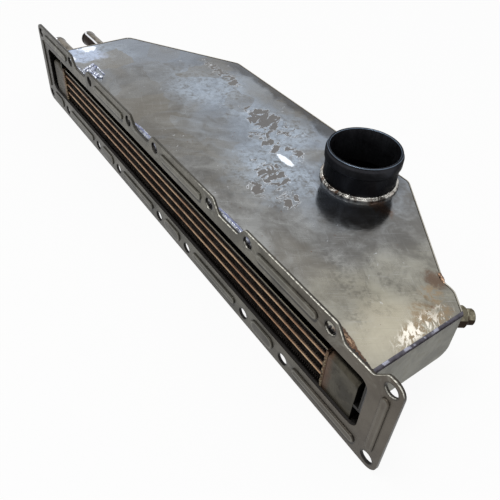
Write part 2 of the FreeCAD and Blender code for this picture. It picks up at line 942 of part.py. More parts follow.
# Baffle that shuts the way over the core and past the near tank
baffle_reach = (core_rear - size("hood_sheet"), core_rear)
over_core = block_between((-far_inner, near_inner), baffle_reach, (core_top, roof_under))
past_tank = block_between((tank_end, near_inner), baffle_reach, (floor_top, core_top))
made_feature("bypass_baffle", over_core.fuse(past_tank).cut([pan, seam]).removeSplitter())

# Roof, welded to the pan along its rim
roof_limits = block_between((-BEYOND, seam_start), (flange_back, BEYOND), (-BEYOND, BEYOND))
rim_width = float(size("rim_weld_width"))
roof = plan_prism(roof_under, roof_top, inset=rim_width, spread=SPREAD).common(roof_limits)
pipe_hole = Part.makeCylinder(
    float(pipe_outer),
    hood_sheet,
    Vector(float(pipe_x), float(pipe_y), float(roof_under)),
)
made_feature("roof_plate", roof.cut(pipe_hole))

rim_top = roof_top + size("rim_weld_rise")
rim = plan_prism(roof_under, rim_top, spread=SPREAD)
rim = rim.cut(plan_prism(roof_under, rim_top, inset=rim_width, spread=SPREAD))
crown = [edge for edge in rim.Edges if near(edge.BoundBox.ZMin, rim_top)]
rim = rim.makeFillet(float(size("rim_weld_round")), crown).common(roof_limits).cut(inlet_weld.Shape)
made_feature("rim_weld", rim)

# Caps behind the flange that close the window past the ends of the tanks
cap_end = window_half + size("cap_lap")
cap_low = tank_bottom - size("cap_sheet")


def cap_block(closed, tank_side, depth, high, wall=zero):
    """The outside of a cap behind the flange or, with a wall, the space in it."""
    inner_end = float(closed) + math.copysign(float(wall), float(tank_side) - float(closed))
    return block_between(
        sorted((inner_end, float(tank_side))),
        (flange_back, flange_back + depth - wall),
        (cap_low + wall, high - wall),
    )


far_cap_limits = (-cap_end, -far_outer, size("far_cap_depth"), window_top + size("cap_lap"))
far_cap_outside = cap_block(*far_cap_limits)
far_cap = far_cap_outside.cut([cap_block(*far_cap_limits, size("cap_sheet")), far_envelope])
made_feature("far_end_cap", far_cap)

near_cap_limits = (cap_end, tank_end, size("near_cap_depth"), floor_under)
near_cap = cap_block(*near_cap_limits).cut(cap_block(*near_cap_limits, size("cap_sheet")))
made_feature("near_end_cap", near_cap)

# Fillet weld where the plenum's front rim meets the flange
leg = float(size("joint_weld_leg"))
front = float(flange_back)


def rim_rectangle(y, spread):
    left = -float(far_outer) - spread
    right = float(near_outer) + spread
    low = float(floor_under)
    high = float(roof_top) + spread
    places = ((left, low), (right, low), (right, high), (left, high), (left, low))
    return Part.makePolygon([Vector(x, y, z) for x, z in places])


weld = Part.makeLoft([rim_rectangle(front, leg), rim_rectangle(front + leg, 0.0)], True, True)
behind_rim = block_between((-far_outer, near_outer), (flange_back, BEYOND), (-BEYOND, roof_top))
made_feature("flange_weld", weld.cut([behind_rim, seam, rim, far_cap_outside]))


# Sensor port: a hexagon boss on the wall, a washer and a hexagon plug, along one axis

def port_part(kind, name, **sizes):
    """A primitive whose sizes are bound to the sheet."""
    part = doc.addObject(f"Part::{kind}", name)
    for field, value in sizes.items():
        part.setExpression(field, value.text)
    return part


def nut_blank(name, flats, length):
    """A hexagonal prism whose outer corners are turned off at 30 degrees."""
    prism = port_part("Prism", f"{name}_prism", Circumradius=flats / 2 * HEX_CORNER, Height=length)
    prism.Polygon = HEX_SIDES
    start = flats * NUT_CHAMFER_START
    cone = port_part(
        "Cone",
        f"{name}_chamfer",
        Radius1=start + length * NUT_CHAMFER_SLOPE,
        Radius2=start,
        Height=length,
    )
    blank = doc.addObject("Part::Common", f"{name}_blank")
    blank.Base = prism
    blank.Tool = cone
    return blank


def finish_port(name, kind, base, tool, level):
    piece = doc.addObject(f"Part::{kind}", name)
    piece.Label = name
    piece.Base = base
    piece.Tool = tool
    piece.Placement = Placement(port_foot + port_normal * float(level), port_turn)
    nodes.append(piece)


bore_radius = size("port_bore") / 2
finish_port(
    "port_boss",
    "Cut",
    nut_blank("boss", size("port_flats"), size("port_length")),
    port_part("Cylinder", "boss_bore", Radius=bore_radius, Height=size("port_length")),
    zero,
)
finish_port(
    "port_washer",
    "Cut",
    port_part("Cylinder", "washer_disc", Radius=size("washer_diameter") / 2, Height=size("washer_sheet")),
    port_part("Cylinder", "washer_bore", Radius=bore_radius, Height=size("washer_sheet")),
    size("port_length"),
)
shank = port_part(
    "Cylinder",
    "plug_shank",
    Radius=bore_radius,
    Height=size("plug_shank") + size("washer_sheet"),
)
shank.setExpression("Placement.Base.z", (-size("plug_shank") - size("washer_sheet")).text)
finish_port(
    "port_plug",
    "Fuse",
    nut_blank("plug", size("plug_flats"), size("plug_head")),
    shank,
    size("port_length") + size("washer_sheet"),
)


# Check and write

doc.recompute()
for item in doc.Objects:
    if "Invalid" in item.State or "Error" in item.State:
        raise RuntimeError(f"{item.Label} failed: {item.State}")
for node in nodes:
    if node.Shape.isNull() or not node.Shape.isValid():
        raise RuntimeError(f"{node.Label} has no valid shape")
os.makedirs("parts", exist_ok=True)
for node in nodes:
    node.Shape.exportStep(f"parts/{node.Label}.step")
    solids = len(node.Shape.Solids)
    print(f"{node.Label}: {solids} solid(s), {node.Shape.Volume / 1000:.2f} cm3")
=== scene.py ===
"""Looks of an engine aftercooler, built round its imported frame.

The frame's row axes hold here too: X runs along the flange with the hose stub towards +X, Y runs
from the flange's front face back into the plenum, and Z is up. Meshes are in metres. Shader
patterns are written in millimetres.
"""

import functools
import logging
import math
from dataclasses import dataclass, field
from enum import Enum
from typing import Any, Iterable, Sequence

import bmesh
import bpy
from mathutils import Matrix, Vector


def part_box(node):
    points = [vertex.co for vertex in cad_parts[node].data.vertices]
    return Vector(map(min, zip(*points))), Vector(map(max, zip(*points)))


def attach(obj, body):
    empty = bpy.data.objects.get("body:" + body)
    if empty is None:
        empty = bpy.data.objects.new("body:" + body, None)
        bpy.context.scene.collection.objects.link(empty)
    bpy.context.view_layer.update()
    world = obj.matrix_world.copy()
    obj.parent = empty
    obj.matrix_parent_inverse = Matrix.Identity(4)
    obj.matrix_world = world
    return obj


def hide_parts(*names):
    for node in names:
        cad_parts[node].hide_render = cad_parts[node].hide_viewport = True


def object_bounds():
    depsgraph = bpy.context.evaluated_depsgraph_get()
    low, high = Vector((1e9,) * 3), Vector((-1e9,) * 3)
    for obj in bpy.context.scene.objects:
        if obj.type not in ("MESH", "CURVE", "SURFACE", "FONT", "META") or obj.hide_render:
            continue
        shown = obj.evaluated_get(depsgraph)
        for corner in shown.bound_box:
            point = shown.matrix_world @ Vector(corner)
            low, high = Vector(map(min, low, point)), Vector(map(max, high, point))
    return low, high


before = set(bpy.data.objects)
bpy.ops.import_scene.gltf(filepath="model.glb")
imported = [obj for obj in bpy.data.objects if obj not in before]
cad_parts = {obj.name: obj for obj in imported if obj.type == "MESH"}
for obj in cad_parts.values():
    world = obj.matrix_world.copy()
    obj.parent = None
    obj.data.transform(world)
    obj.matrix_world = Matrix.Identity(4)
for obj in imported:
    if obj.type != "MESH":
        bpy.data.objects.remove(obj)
CAD_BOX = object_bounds()

log = logging.getLogger("aftercooler")

MM = 0.001
ROOT = "root"
Triple = tuple[float, float, float]
Colour = Triple
WHITE: Colour = (1.0, 1.0, 1.0)
EVEN: Triple = (1.0, 1.0, 1.0)


def tone(red: int, green: int, blue: int) -> Colour:
    """A colour as it looks on a screen, from 0 to 255, as the linear value that a shader takes."""
    shares = (channel / 255 for channel in (red, green, blue))
    return tuple(s / 12.92 if s <= 0.04045 else ((s + 0.055) / 1.055) ** 2.4 for s in shares)


class Value:
    """A number that a node tree works out; arithmetic on it adds Math nodes to the tree."""

    def __init__(self, tree: "Tree", socket: bpy.types.NodeSocket) -> None:
        """Wrap a number output of one of a tree's nodes."""
        self.tree = tree
        self.socket = socket

    def math(self, operation: str, first: Any, second: Any = 0.0) -> "Value":
        """One Math node: an operation, such as ADD, on one or two numbers or values."""
        sockets = {0: first, 1: second}
        return Value(self.tree, self.tree.result("ShaderNodeMath", {"operation": operation}, sockets))

    def __add__(self, other: Any) -> "Value":
        """self + other"""
        return self.math("ADD", self, other)

    __radd__ = __add__

    def __sub__(self, other: Any) -> "Value":
        """self - other"""
        return self.math("SUBTRACT", self, other)

    def __rsub__(self, other: Any) -> "Value":
        """other - self"""
        return self.math("SUBTRACT", other, self)

    def __mul__(self, other: Any) -> "Value":
        """self * other"""
        return self.math("MULTIPLY", self, other)

    __rmul__ = __mul__

    def __truediv__(self, other: Any) -> "Value":
        """self / other"""
        return self.math("DIVIDE", self, other)

    def __mod__(self, other: Any) -> "Value":
        """self % other"""
        return self.math("FLOORED_MODULO", self, other)

    def __pow__(self, other: Any) -> "Value":
        """self ** other"""
        return self.math("POWER", self, other)

    def __abs__(self) -> "Value":
        """abs(self)"""
        return self.math("ABSOLUTE", self)

    def sign(self) -> "Value":
        """1, 0 or -1."""
        return self.math("SIGN", self)

    def sine(self) -> "Value":
        """The sine of the value, in radians."""
        return self.math("SINE", self)

    def least(self, other: Any) -> "Value":
        """The smaller of two values."""
        return self.math("MINIMUM", self, other)

    def most(self, other: Any) -> "Value":
        """The larger of two values."""
        return self.math("MAXIMUM", self, other)

    def hypot(self, other: "Value") -> "Value":
        """The length of a line from its two parts."""
        return (self * self + other * other) ** 0.5

    def nearest(self, centre: float, pitch: float) -> "Value":
        """Distance from the nearest of the places that repeat from a centre at a pitch."""
        return (self - centre + pitch / 2) % pitch - pitch / 2

    def swing(self, reach: float) -> "Value":
        """How far a noise strays from its middle, times a reach."""
        return (self - 0.5) * reach

    def ease(self, start: float, end: float) -> "Value":
        """A soft step.

        Args:
            start: Where it is 0.
            end: Where it is 1; it may be the smaller of the two.

        Returns:
            The step.
        """
        sockets = {"Value": self, "From Min": start, "From Max": end}
        step = self.tree.node("ShaderNodeMapRange", {"interpolation_type": "SMOOTHSTEP"}, sockets)
        return Value(self.tree, step.outputs["Result"])


class Tree:
    """A node tree of any kind, with one way to make a node."""

    def __init__(self, tree: bpy.types.NodeTree) -> None:
        """Take a node tree and empty it."""
        self.tree = tree
        self.tree.nodes.clear()

    def node(
        self,
        kind: str,
        settings: dict[str, Any] | None = None,
        sockets: dict[int | str, Any] | None = None,
    ) -> bpy.types.Node:
        """Any node of the tree.

        Args:
            kind: The node's type.
            settings: Its settings, set first.
            sockets: What its inputs hold: numbers, colours, values or other nodes' outputs.

        Returns:
            The node.
        """
        made = self.tree.nodes.new(kind)
        for name, setting in (settings or {}).items():
            setattr(made, name, setting)
        for key, content in (sockets or {}).items():
            self.fill(made.inputs[key], content)
        return made

    def result(
        self,
        kind: str,
        settings: dict[str, Any] | None = None,
        sockets: dict[int | str, Any] | None = None,
    ) -> bpy.types.NodeSocket:
        """The first output of a new node, which is described as in node."""
        return self.node(kind, settings, sockets).outputs[0]

    def fill(self, socket: bpy.types.NodeSocket, content: Any) -> None:
        """Link a socket to a value or an output, or give it a constant.

        Args:
            socket: The input.
            content: What it holds.
        """
        if isinstance(content, Value):
            self.tree.links.new(content.socket, socket)
        elif isinstance(content, bpy.types.NodeSocket):
            self.tree.links.new(content, socket)
        elif socket.type == "RGBA":
            socket.default_value = (*content, 1.0)
        else:
            socket.default_value = content

    def seen(self) -> Value:
        """Whether the camera looks straight, or by a reflection or through glass.

        Returns:
            1 where it does, 0 elsewhere.
        """
        path = self.node("ShaderNodeLightPath")
        rays = ("Is Camera Ray", "Is Glossy Ray", "Is Transmission Ray")
        return functools.reduce(Value.most, (Value(self, path.outputs[ray]) for ray in rays))


class Shader(Tree):
    """A material's node tree, with places in millimetres."""

    def __init__(self, name: str) -> None:
        """Start a material.

        Args:
            name: The material's name.
        """
        self.material = bpy.data.materials.new(name)
        self.material.use_nodes = True
        super().__init__(self.material.node_tree)
        coordinates = self.node("ShaderNodeTexCoord")
        metres = {0: coordinates.outputs["Object"], "Scale": 1 / MM}
        self.place = self.result("ShaderNodeVectorMath", {"operation": "SCALE"}, metres)
        self.x, self.y, self.z = self.split(self.place)
        self.east, self.north, self.top = self.split(coordinates.outputs["Normal"])

    def split(self, vector: bpy.types.NodeSocket) -> list[Value]:
        """The three parts of a vector."""
        parts = self.node("ShaderNodeSeparateXYZ", sockets={0: vector})
        return [Value(self, output) for output in parts.outputs]

    def noise(
        self,
        size: float,
        detail: float = 3.0,
        rough: float = 0.5,
        warp: float = 0.0,
        stretch: Triple = EVEN,
        turn: float = 0.0,
        shift: float = 0.0,
    ) -> Value:
        """Cloudy noise.

        Args:
            size: The size of its largest clouds, in millimetres.
            detail: How many finer layers it has.
            rough: How strong the finer layers are.
            warp: How much it is distorted.
            stretch: How much longer than wide the clouds are along X, Y and Z.
            turn: The turn of the pattern about Z, in degrees.
            shift: A distance that moves the pattern, to make it another one.

        Returns:
            The noise, mostly from 0.3 to 0.7.
        """
        mapped = self.result(
            "ShaderNodeMapping",
            {"vector_type": "TEXTURE"},
            {
                "Vector": self.place,
                "Location": (shift, shift, shift),
                "Rotation": (0.0, 0.0, math.radians(turn)),
                "Scale": stretch,
            },
        )
        sockets = {"Scale": 1 / size, "Detail": detail, "Roughness": rough, "Distortion": warp}
        return Value(self, self.result("ShaderNodeTexNoise", sockets={"Vector": mapped, **sockets}))

    def cells(self, size: float) -> Value:
        """Distance to the nearest of scattered points, as a share of their spacing."""
        sockets = {"Vector": self.place, "Scale": 1 / size}
        return Value(self, self.result("ShaderNodeTexVoronoi", sockets=sockets))

    def facets(self, size: float, warp: float) -> Value:
        """Crumpled patches, each with one tone from 0 to 1.

        Args:
            size: How large a patch is, in millimetres.
            warp: How far the patches' edges stray, in millimetres.

        Returns:
            The tone.
        """
        stray = self.node(
            "ShaderNodeTexNoise",
            sockets={"Vector": self.place, "Scale": 1 / size, "Detail": 3.0, "Roughness": 0.5},
        )
        moved = self.node(
            "ShaderNodeVectorMath",
            {"operation": "MULTIPLY_ADD"},
            {0: stray.outputs["Color"], 1: (warp, warp, warp), 2: self.place},
        )
        made = self.node("ShaderNodeTexVoronoi", sockets={"Vector": moved.outputs[0], "Scale": 1 / size})
        return self.split(made.outputs["Color"])[0]

    def distance(self, x: float, y: float, wide: float = 1.0, deep: float = 1.0) -> Value:
        """Distance in plan from a point, with X and Y divided by their own reach."""
        return ((self.x - x) / wide).hypot((self.y - y) / deep)

    def spot(self, patch: "Patch", stray: Any = 0.0, soft: float = 0.5) -> Value:
        """How much of a patch shows: 1 inside, 0 outside.

        Args:
            patch: Where it lies.
            stray: A value round 0 that makes its edge uneven.
            soft: How wide its edge is, as a share of its reach.

        Returns:
            The mask.
        """
        reach = self.distance(patch.x, patch.y, patch.wide, patch.deep) + stray
        return reach.ease(1.0 + soft / 2, 1.0 - soft / 2)

    def mix(self, first: Any, second: Any, share: Any) -> bpy.types.NodeSocket:
        """Two colours mixed.

        Args:
            first: The colour at share 0.
            second: The colour at share 1.
            share: A number or a value.

        Returns:
            The mixed colour's socket.
        """
        settings = {"data_type": "RGBA", "blend_type": "MIX", "clamp_factor": True}
        return self.node("ShaderNodeMix", settings, {0: share, 6: first, 7: second}).outputs[2]

    def surface(self, look: "Look") -> bpy.types.Material:
        """Finish the material with one metal surface.

        Args:
            look: What the surface is like.

        Returns:
            The material.
        """
        bump = self.node("ShaderNodeBump", sockets={"Strength": 1.0, "Distance": MM, "Height": look.height})
        shader = self.node(
            "ShaderNodeBsdfPrincipled",
            sockets={
                "Base Color": look.colour,
                "Roughness": look.roughness,
                "Metallic": look.metallic,
                "Specular IOR Level": look.specular,
                "Specular Tint": look.edge_tint,
                "Normal": bump.outputs[0],
            },
        )
        self.node("ShaderNodeOutputMaterial", sockets={0: shader.outputs[0]})
        return self.material


@dataclass
class Look:
    """What a surface is like: each entry is a constant, or a value or colour that varies over it."""

    shader: Shader
    colour: Any
    roughness: Any
    metallic: Any
    height: Any
    specular: float = 0.5
    edge_tint: Colour = WHITE

    def lay(self, paint: Any, share: Any) -> None:
        """Lay a colour over the surface, as thick as the share says."""
        self.colour = self.shader.mix(self.colour, paint, share)


@dataclass(frozen=True)
class Finish:
    """A worn metal surface: two tones in clouds, grime, a fine grain and shallow dents."""

    name: str
    light: Colour
    dark: Colour
    grime: Colour = tone(46, 40, 34)
    grime_share: float = 0.35
    metallic: float = 0.85
    smooth: float = 0.3
    dull: float = 0.5
    cloud: float = 34.0
    grain: float = 0.7
    grain_stretch: Triple = (6.0, 1.0, 1.0)
    grain_depth: float = 0.012
    dent: float = 0.12
    specular: float = 0.5
    edge_tint: Colour = WHITE

    def plain(self, s: Shader) -> Look:
        """The surface before what its own kind adds.

        Args:
            s: The shader to build it in.

        Returns:
            The surface.
        """
        cloud = s.noise(self.cloud, 6.0, 0.6, 0.5)
        dirt_and_shade = s.noise(self.cloud / 3, 8.0, 0.7, 1.0, shift=310.0).ease(0.50, 0.74)
        grain = s.noise(self.grain, 4.0, 0.6, stretch=self.grain_stretch)
        look = Look(
            s,
            colour=s.mix(self.light, self.dark, cloud.ease(0.36, 0.66)),
            roughness=self.smooth + (cloud * 0.4 + dirt_and_shade * 0.4 + grain * 0.3) * (self.dull - self.smooth),
            metallic=self.metallic - dirt_and_shade * (self.metallic * 0.3),
            height=grain * self.grain_depth + cloud * self.dent + dirt_and_shade * 0.01,
            specular=self.specular,
            edge_tint=self.edge_tint,
        )
        look.lay(self.grime, dirt_and_shade * self.grime_share)
        return look

    def wear(self, look: Look) -> None:
        """Add what only this kind of finish has. A plain one has nothing more."""

    @functools.cache
    def material(self) -> bpy.types.Material:
        """The finish as a material, made once.

        Returns:
            The material.
        """
        shader = Shader(self.name)
        look = self.plain(shader)
        self.wear(look)
        return shader.surface(look)


@dataclass(frozen=True)
class Patch:
    """A place on the roof: its centre and its reach along X and Y, in millimetres."""

    x: float
    y: float
    wide: float
    deep: float


@dataclass(frozen=True)
class RoofFinish(Finish):
    """Semi-polished sheet: painted reflections, bluish at the back and pale in patches, cream at the near end
    with a painted sheen, burnt and stained at its welds, painted shade on its underside.
    """

    cool_reflection: Colour = tone(127, 138, 153)
    pale: Colour = tone(176, 190, 206)
    warm: Colour = tone(112, 108, 100)
    cream: Colour = tone(164, 160, 143)
    cream_sheen: Colour = tone(204, 196, 174)
    warm_glare: Colour = tone(246, 240, 228)
    bronze: Colour = tone(140, 120, 94)
    stain: Colour = tone(92, 62, 40)
    soot_and_shade: Colour = tone(40, 37, 34)
    film: Colour = tone(98, 95, 93)
    glare: Colour = tone(232, 238, 246)
    stub: Patch = Patch(152.5, 166.5, 43.0, 43.0)
    reflection_places: tuple[Patch, ...] = (
        Patch(14, 150, 58, 34), Patch(88, 98, 52, 42), Patch(-112, 140, 56, 46), Patch(-262, 42, 42, 46),
        Patch(60, 130, 60, 26), Patch(-214, 21, 17, 8),
    )
    dark_places: tuple[Patch, ...] = (
        Patch(-209, 50, 26, 12), Patch(-150, 184, 34, 16), Patch(-40, 186, 60, 18), Patch(284, 54, 34, 16),
        Patch(-70, 40, 46, 26), Patch(96, 148, 16, 18), Patch(230, 34, 46, 20),
    )
    film_places: tuple[Patch, ...] = (
        Patch(8, 150, 44, 20), Patch(38, 122, 26, 15), Patch(80, 136, 18, 10), Patch(98, 88, 26, 16),
        Patch(140, 80, 20, 14), Patch(-128, 172, 46, 10), Patch(110, 58, 16, 10),
    )
    glint: Patch = Patch(84, 118.5, 13, 4.4)
    far_glints: tuple[Patch, ...] = (Patch(-290, 43, 9, 11), Patch(-272, 12, 7, 4))
    sky_reflection: Colour = tone(176, 190, 216)
    streaks: Patch = Patch(331, 70, 10, 30)
    brightest: Patch = Patch(329, 57, 7, 12)
    near_shine: Patch = Patch(318, 44, 26, 46)
    bronze_places: tuple[Patch, ...] = (Patch(322, 82, 12, 12), Patch(331, 92, 7, 14), Patch(310, 104, 10, 9))
    pencil_places: tuple[Patch, ...] = (
        Patch(284, 56, 20, 9), Patch(262, 50, 16, 12), Patch(292, 30, 16, 8), Patch(276, 84, 26, 8),
        Patch(236, 62, 30, 14), Patch(306, 92, 14, 6),
    )
    burnt_places: tuple[Patch, ...] = (
        Patch(199, 151, 15, 8), Patch(300, 120, 10, 8), Patch(320, 93, 2.0, 1.4),
    )
    tan: Colour = tone(196, 164, 132)
    tan_place: Patch = Patch(303, 8, 11, 4.5)
    arc_centre: tuple[float, float] = (70.0, -30.0)
    arc_place: Patch = Patch(-20, 66, 74, 46)

    def plain(self, s: Shader) -> Look:
        """The sheet's tones, from broad to fine.

        Args:
            s: The shader to build it in.

        Returns:
            The surface.
        """
        layers = RoofLayers(self, s)
        for lay in (
            layers.clouds, layers.crumple, layers.near_end, layers.streak, layers.film,
            layers.glints, layers.burns, layers.front_edge, layers.specks,
        ):
            lay()
        layers.look.roughness = layers.look.roughness.most(0.1).least(0.7)
        return layers.look


class RoofLayers:
    """The roof's tones, laid one over another."""

    def __init__(self, roof: RoofFinish, s: Shader) -> None:
        """Start with the sheet's own grain.

        Args:
            roof: The finish that holds the tones and places.
            s: The shader to build it in.
        """
        self.roof = roof
        self.s = s
        self.cloud = s.noise(80.0, 5.0, 0.6, 0.6)
        self.smudge = s.noise(34.0, 7.0, 0.58, 1.1, shift=120.0)
        self.fine = s.noise(6.0, 6.0, 0.65, 0.6, shift=50.0)
        self.brush = s.noise(1.1, 3.0, 0.6, stretch=(18.0, 1.0, 1.0), turn=56.0)
        self.cross = s.noise(1.3, 3.0, 0.6, stretch=(14.0, 1.0, 1.0), turn=-24.0, shift=20.0)
        self.tones = self.cloud * 0.44 + self.smudge * 0.42 + self.fine * 0.14
        self.stray = self.smudge.swing(1.8)
        self.ring = s.distance(roof.stub.x, roof.stub.y)
        mirror = (self.ring + self.cloud.swing(30)).ease(roof.stub.wide + 62, roof.stub.wide + 16)
        rough = 0.24 + self.cloud.swing(0.2) + self.smudge.swing(0.36) + self.brush.swing(0.14)
        swell = s.noise(95.0, 1.0, 0.3, shift=410.0)
        finer = self.cloud * 0.5 + self.smudge * 0.10 + self.fine * 0.012
        finer = finer + self.brush * 0.010 + self.cross * 0.006
        self.look = Look(
            s,
            colour=s.mix(roof.dark, roof.light, self.tones.ease(0.40, 0.62)),
            roughness=rough * (1 - mirror * 0.45),
            metallic=0.92,
            height=swell * 1.1 + finer * (1 - mirror * 0.97),
        )

    def any_of(self, patches: Sequence[Patch], stray: Value, soft: float) -> Value:
        """Where any of some patches shows."""
        masks = (self.s.spot(patch, stray, soft) for patch in patches)
        return functools.reduce(Value.most, masks)

    def cover(self, paint: Colour, patches: Sequence[Patch], soft: float, share: Any) -> None:
        """Lay a colour over some patches, with uneven edges."""
        self.look.lay(paint, self.any_of(patches, self.stray, soft) * share)

    def clouds(self) -> None:
        """A bluish painted reflection towards the back, pale painted reflections in patches and warm clouds.
        """
        s, roof, look = self.s, self.roof, self.look
        # Painted reflections: bluish towards the back and pale in patches.
        back = (s.y + self.cloud.swing(130)).ease(50, 140) * s.x.ease(250, 150)
        cool_reflection = back.most((s.x + self.smudge.swing(90)).ease(-150, -250))
        look.lay(roof.cool_reflection, cool_reflection * self.tones.ease(0.36, 0.56) * 0.8)
        self.cover(roof.pale, roof.reflection_places, 1.1, self.fine.ease(0.3, 0.6) * 0.62)
        self.cover(roof.warm, roof.dark_places, 1.2, 0.62)

    def crumple(self) -> None:
        """Overlapping veils, crumpled patches with a painted pale reflection, a pale bluish painted
        reflection in the far corner and faint polishing arcs.
        """
        s, roof, look = self.s, self.roof, self.look
        veil = s.noise(52.0, 4.0, 0.5, 1.8, stretch=(1.0, 1.5, 1.0), turn=-30.0, shift=260.0)
        steps = veil.ease(0.435, 0.450) + veil.ease(0.500, 0.512) + veil.ease(0.560, 0.575)
        look.lay(roof.soot_and_shade, (3 - steps) * 0.06)
        facet = s.facets(46.0, 40.0)
        # Painted pale reflection on some of the crumpled patches.
        look.lay(roof.pale, facet.ease(0.62, 1.0) * s.x.ease(60, -120) * 0.2)
        look.lay(roof.soot_and_shade, s.x.ease(-60, -190) * 0.24)
        look.lay(roof.warm, facet.ease(0.45, 0.0) * s.x.ease(160, -60) * 0.62)
        # Painted pale bluish reflection in the far corner.
        corner = (s.x + self.smudge.swing(44)).ease(-250, -259)
        corner = corner * (s.y + self.smudge.swing(40) + self.fine.swing(14)).ease(60, 48)
        look.lay(roof.sky_reflection, corner * (self.fine.ease(0.35, 0.6) * 0.45 + 0.3))
        # Faint polishing arcs, drawn in the painted pale reflection tone and a warm tone.
        centre = roof.arc_centre
        arcs = (s.distance(*centre) * 0.32 + self.smudge * 9).sine() * s.spot(roof.arc_place, self.stray, 1.0)
        look.lay(roof.pale, arcs.ease(0.2, 1.0) * 0.07)
        look.lay(roof.warm, arcs.ease(-0.2, -1.0) * 0.07)

    def near_end(self) -> None:
        """Cream and bronze towards the near end with a painted sheen by the seam, and brushing over the whole
        sheet drawn as painted glare and darker lines.
        """
        s, roof, look = self.s, self.roof, self.look
        cream = (s.x + self.cloud.swing(110)).ease(215, 312)
        look.lay(roof.cream, cream * (self.tones.ease(0.38, 0.60) * 0.4 + 0.25))
        # Painted sheen by the seam.
        look.lay(roof.cream_sheen, s.spot(roof.near_shine, self.stray * 0.5, 1.3) * 0.45)
        self.cover(roof.bronze, roof.bronze_places, 0.6, self.fine.ease(0.40, 0.56) * 0.7)
        self.cover(roof.soot_and_shade, roof.pencil_places, 1.4, self.fine.ease(0.44, 0.60) * 0.34)
        # Brush marks drawn as painted glare and darker lines.
        look.lay(roof.glare, self.brush.ease(0.56, 0.78) * 0.10 + self.cross.ease(0.58, 0.78) * 0.08)
        look.lay(roof.soot_and_shade, self.brush.ease(0.44, 0.24) * 0.12 + self.cross.ease(0.42, 0.24) * 0.08)
        look.roughness = look.roughness + cream * 0.06

    def streak(self) -> None:
        """Torn streaks at the near corner, bronze and lit with a painted glare."""
        s, roof, look = self.s, self.roof, self.look
        torn = s.noise(5.0, 5.0, 0.66, 1.6, stretch=(1.0, 2.6, 1.0), turn=52.0, shift=40.0)
        streaked = s.spot(roof.streaks, self.stray, 1.0)
        brightest = torn.ease(0.465, 0.50) * s.spot(roof.brightest, self.stray * 0.6, 0.7)
        # Painted glare on the torn streaks and at the brightest place.
        bright = (torn.ease(0.53, 0.575) * streaked).most(brightest)
        look.lay(roof.bronze, torn.ease(0.48, 0.44) * streaked * 0.75)
        look.lay(roof.warm_glare, bright * 0.92)
        look.height = look.height + bright * 0.03

    def film(self) -> None:
        """Islands of dull film with bright rims."""
        s, roof, look = self.s, self.roof, self.look
        blots = s.noise(11.0, 4.0, 0.55, 1.5, stretch=(1.0, 1.9, 1.0), turn=20.0, shift=77.0)
        level = blots + (self.any_of(roof.film_places, self.stray * 0.5, 0.7) - 1) * 0.25
        islands = level.ease(0.488, 0.496)
        rims = level.ease(0.455, 0.486) * (1 - islands)
        look.lay(roof.glare, rims * 0.5)
        look.lay(roof.film, islands * 0.92)
        look.roughness = look.roughness - rims * 0.08
        look.height = look.height + islands * 0.03

    def glints(self) -> None:
        """The few places that shine white."""
        glint = self.s.spot(self.roof.glint, self.fine.swing(1.6), 0.3)
        far = self.any_of(self.roof.far_glints, self.fine.swing(3) + self.stray * 0.4, 0.25)
        self.look.lay(self.roof.glare, glint.most(far))

    def burns(self) -> None:
        """Soot round the stub, a dull band, a dark back edge and burnt spots."""
        s, roof, look = self.s, self.roof, self.look
        soot_and_shade = (self.ring + self.smudge.swing(16)).ease(roof.stub.wide + 9, roof.stub.wide - 1)
        look.lay(roof.soot_and_shade, soot_and_shade * 0.35)
        along = s.x + self.cloud.swing(90)
        look.lay(roof.soot_and_shade, along.ease(-215, -150) * along.ease(90, 10) * 0.17)
        back = (s.y + self.smudge.swing(34) + self.fine.swing(12)).ease(190, 203)
        look.lay(roof.soot_and_shade, back * s.x.ease(140, 60) * s.x.ease(-190, -120) * 0.72)
        look.lay(roof.stain, self.any_of(roof.burnt_places, self.fine.swing(2.4), 0.8) * 0.62)
        look.metallic = look.metallic - soot_and_shade * 0.3

    def front_edge(self) -> None:
        """The burnt wedge in the near front corner, a darker front edge and painted shade on the underside.
        """
        s, roof, look = self.s, self.roof, self.look
        edge = 15.0 - (s.x - 300).most(0.0) * 0.24
        wedge = (edge - s.y + self.fine.swing(7)).ease(0.0, 1.4) * (s.x + self.fine.swing(6)).ease(289, 295)
        look.lay(roof.stain, wedge)
        look.lay(roof.soot_and_shade, wedge * self.smudge.ease(0.40, 0.62) * 0.85)
        look.lay(roof.tan, wedge * self.fine.ease(0.52, 0.60) * s.spot(roof.tan_place, 0.0, 1.0) * 0.8)
        look.lay(roof.soot_and_shade, (s.y + self.fine.swing(10)).ease(8, 3) * self.smudge.ease(0.35, 0.6) * 0.4)
        # Painted shade on the underside.
        look.lay(roof.soot_and_shade, s.top.ease(-0.2, -0.6) * 0.97)
        look.roughness = look.roughness + wedge * 0.25
        look.metallic = look.metallic - wedge * 0.6
        look.height = look.height + wedge * self.fine * 0.4

    def specks(self) -> None:
        """Small rust specks in loose groups."""
        groups = self.s.noise(60.0, 2.0, shift=5.0).ease(0.46, 0.56)
        self.look.lay(self.roof.stain, self.s.cells(11.0).ease(0.07, 0.04) * groups * 0.85)


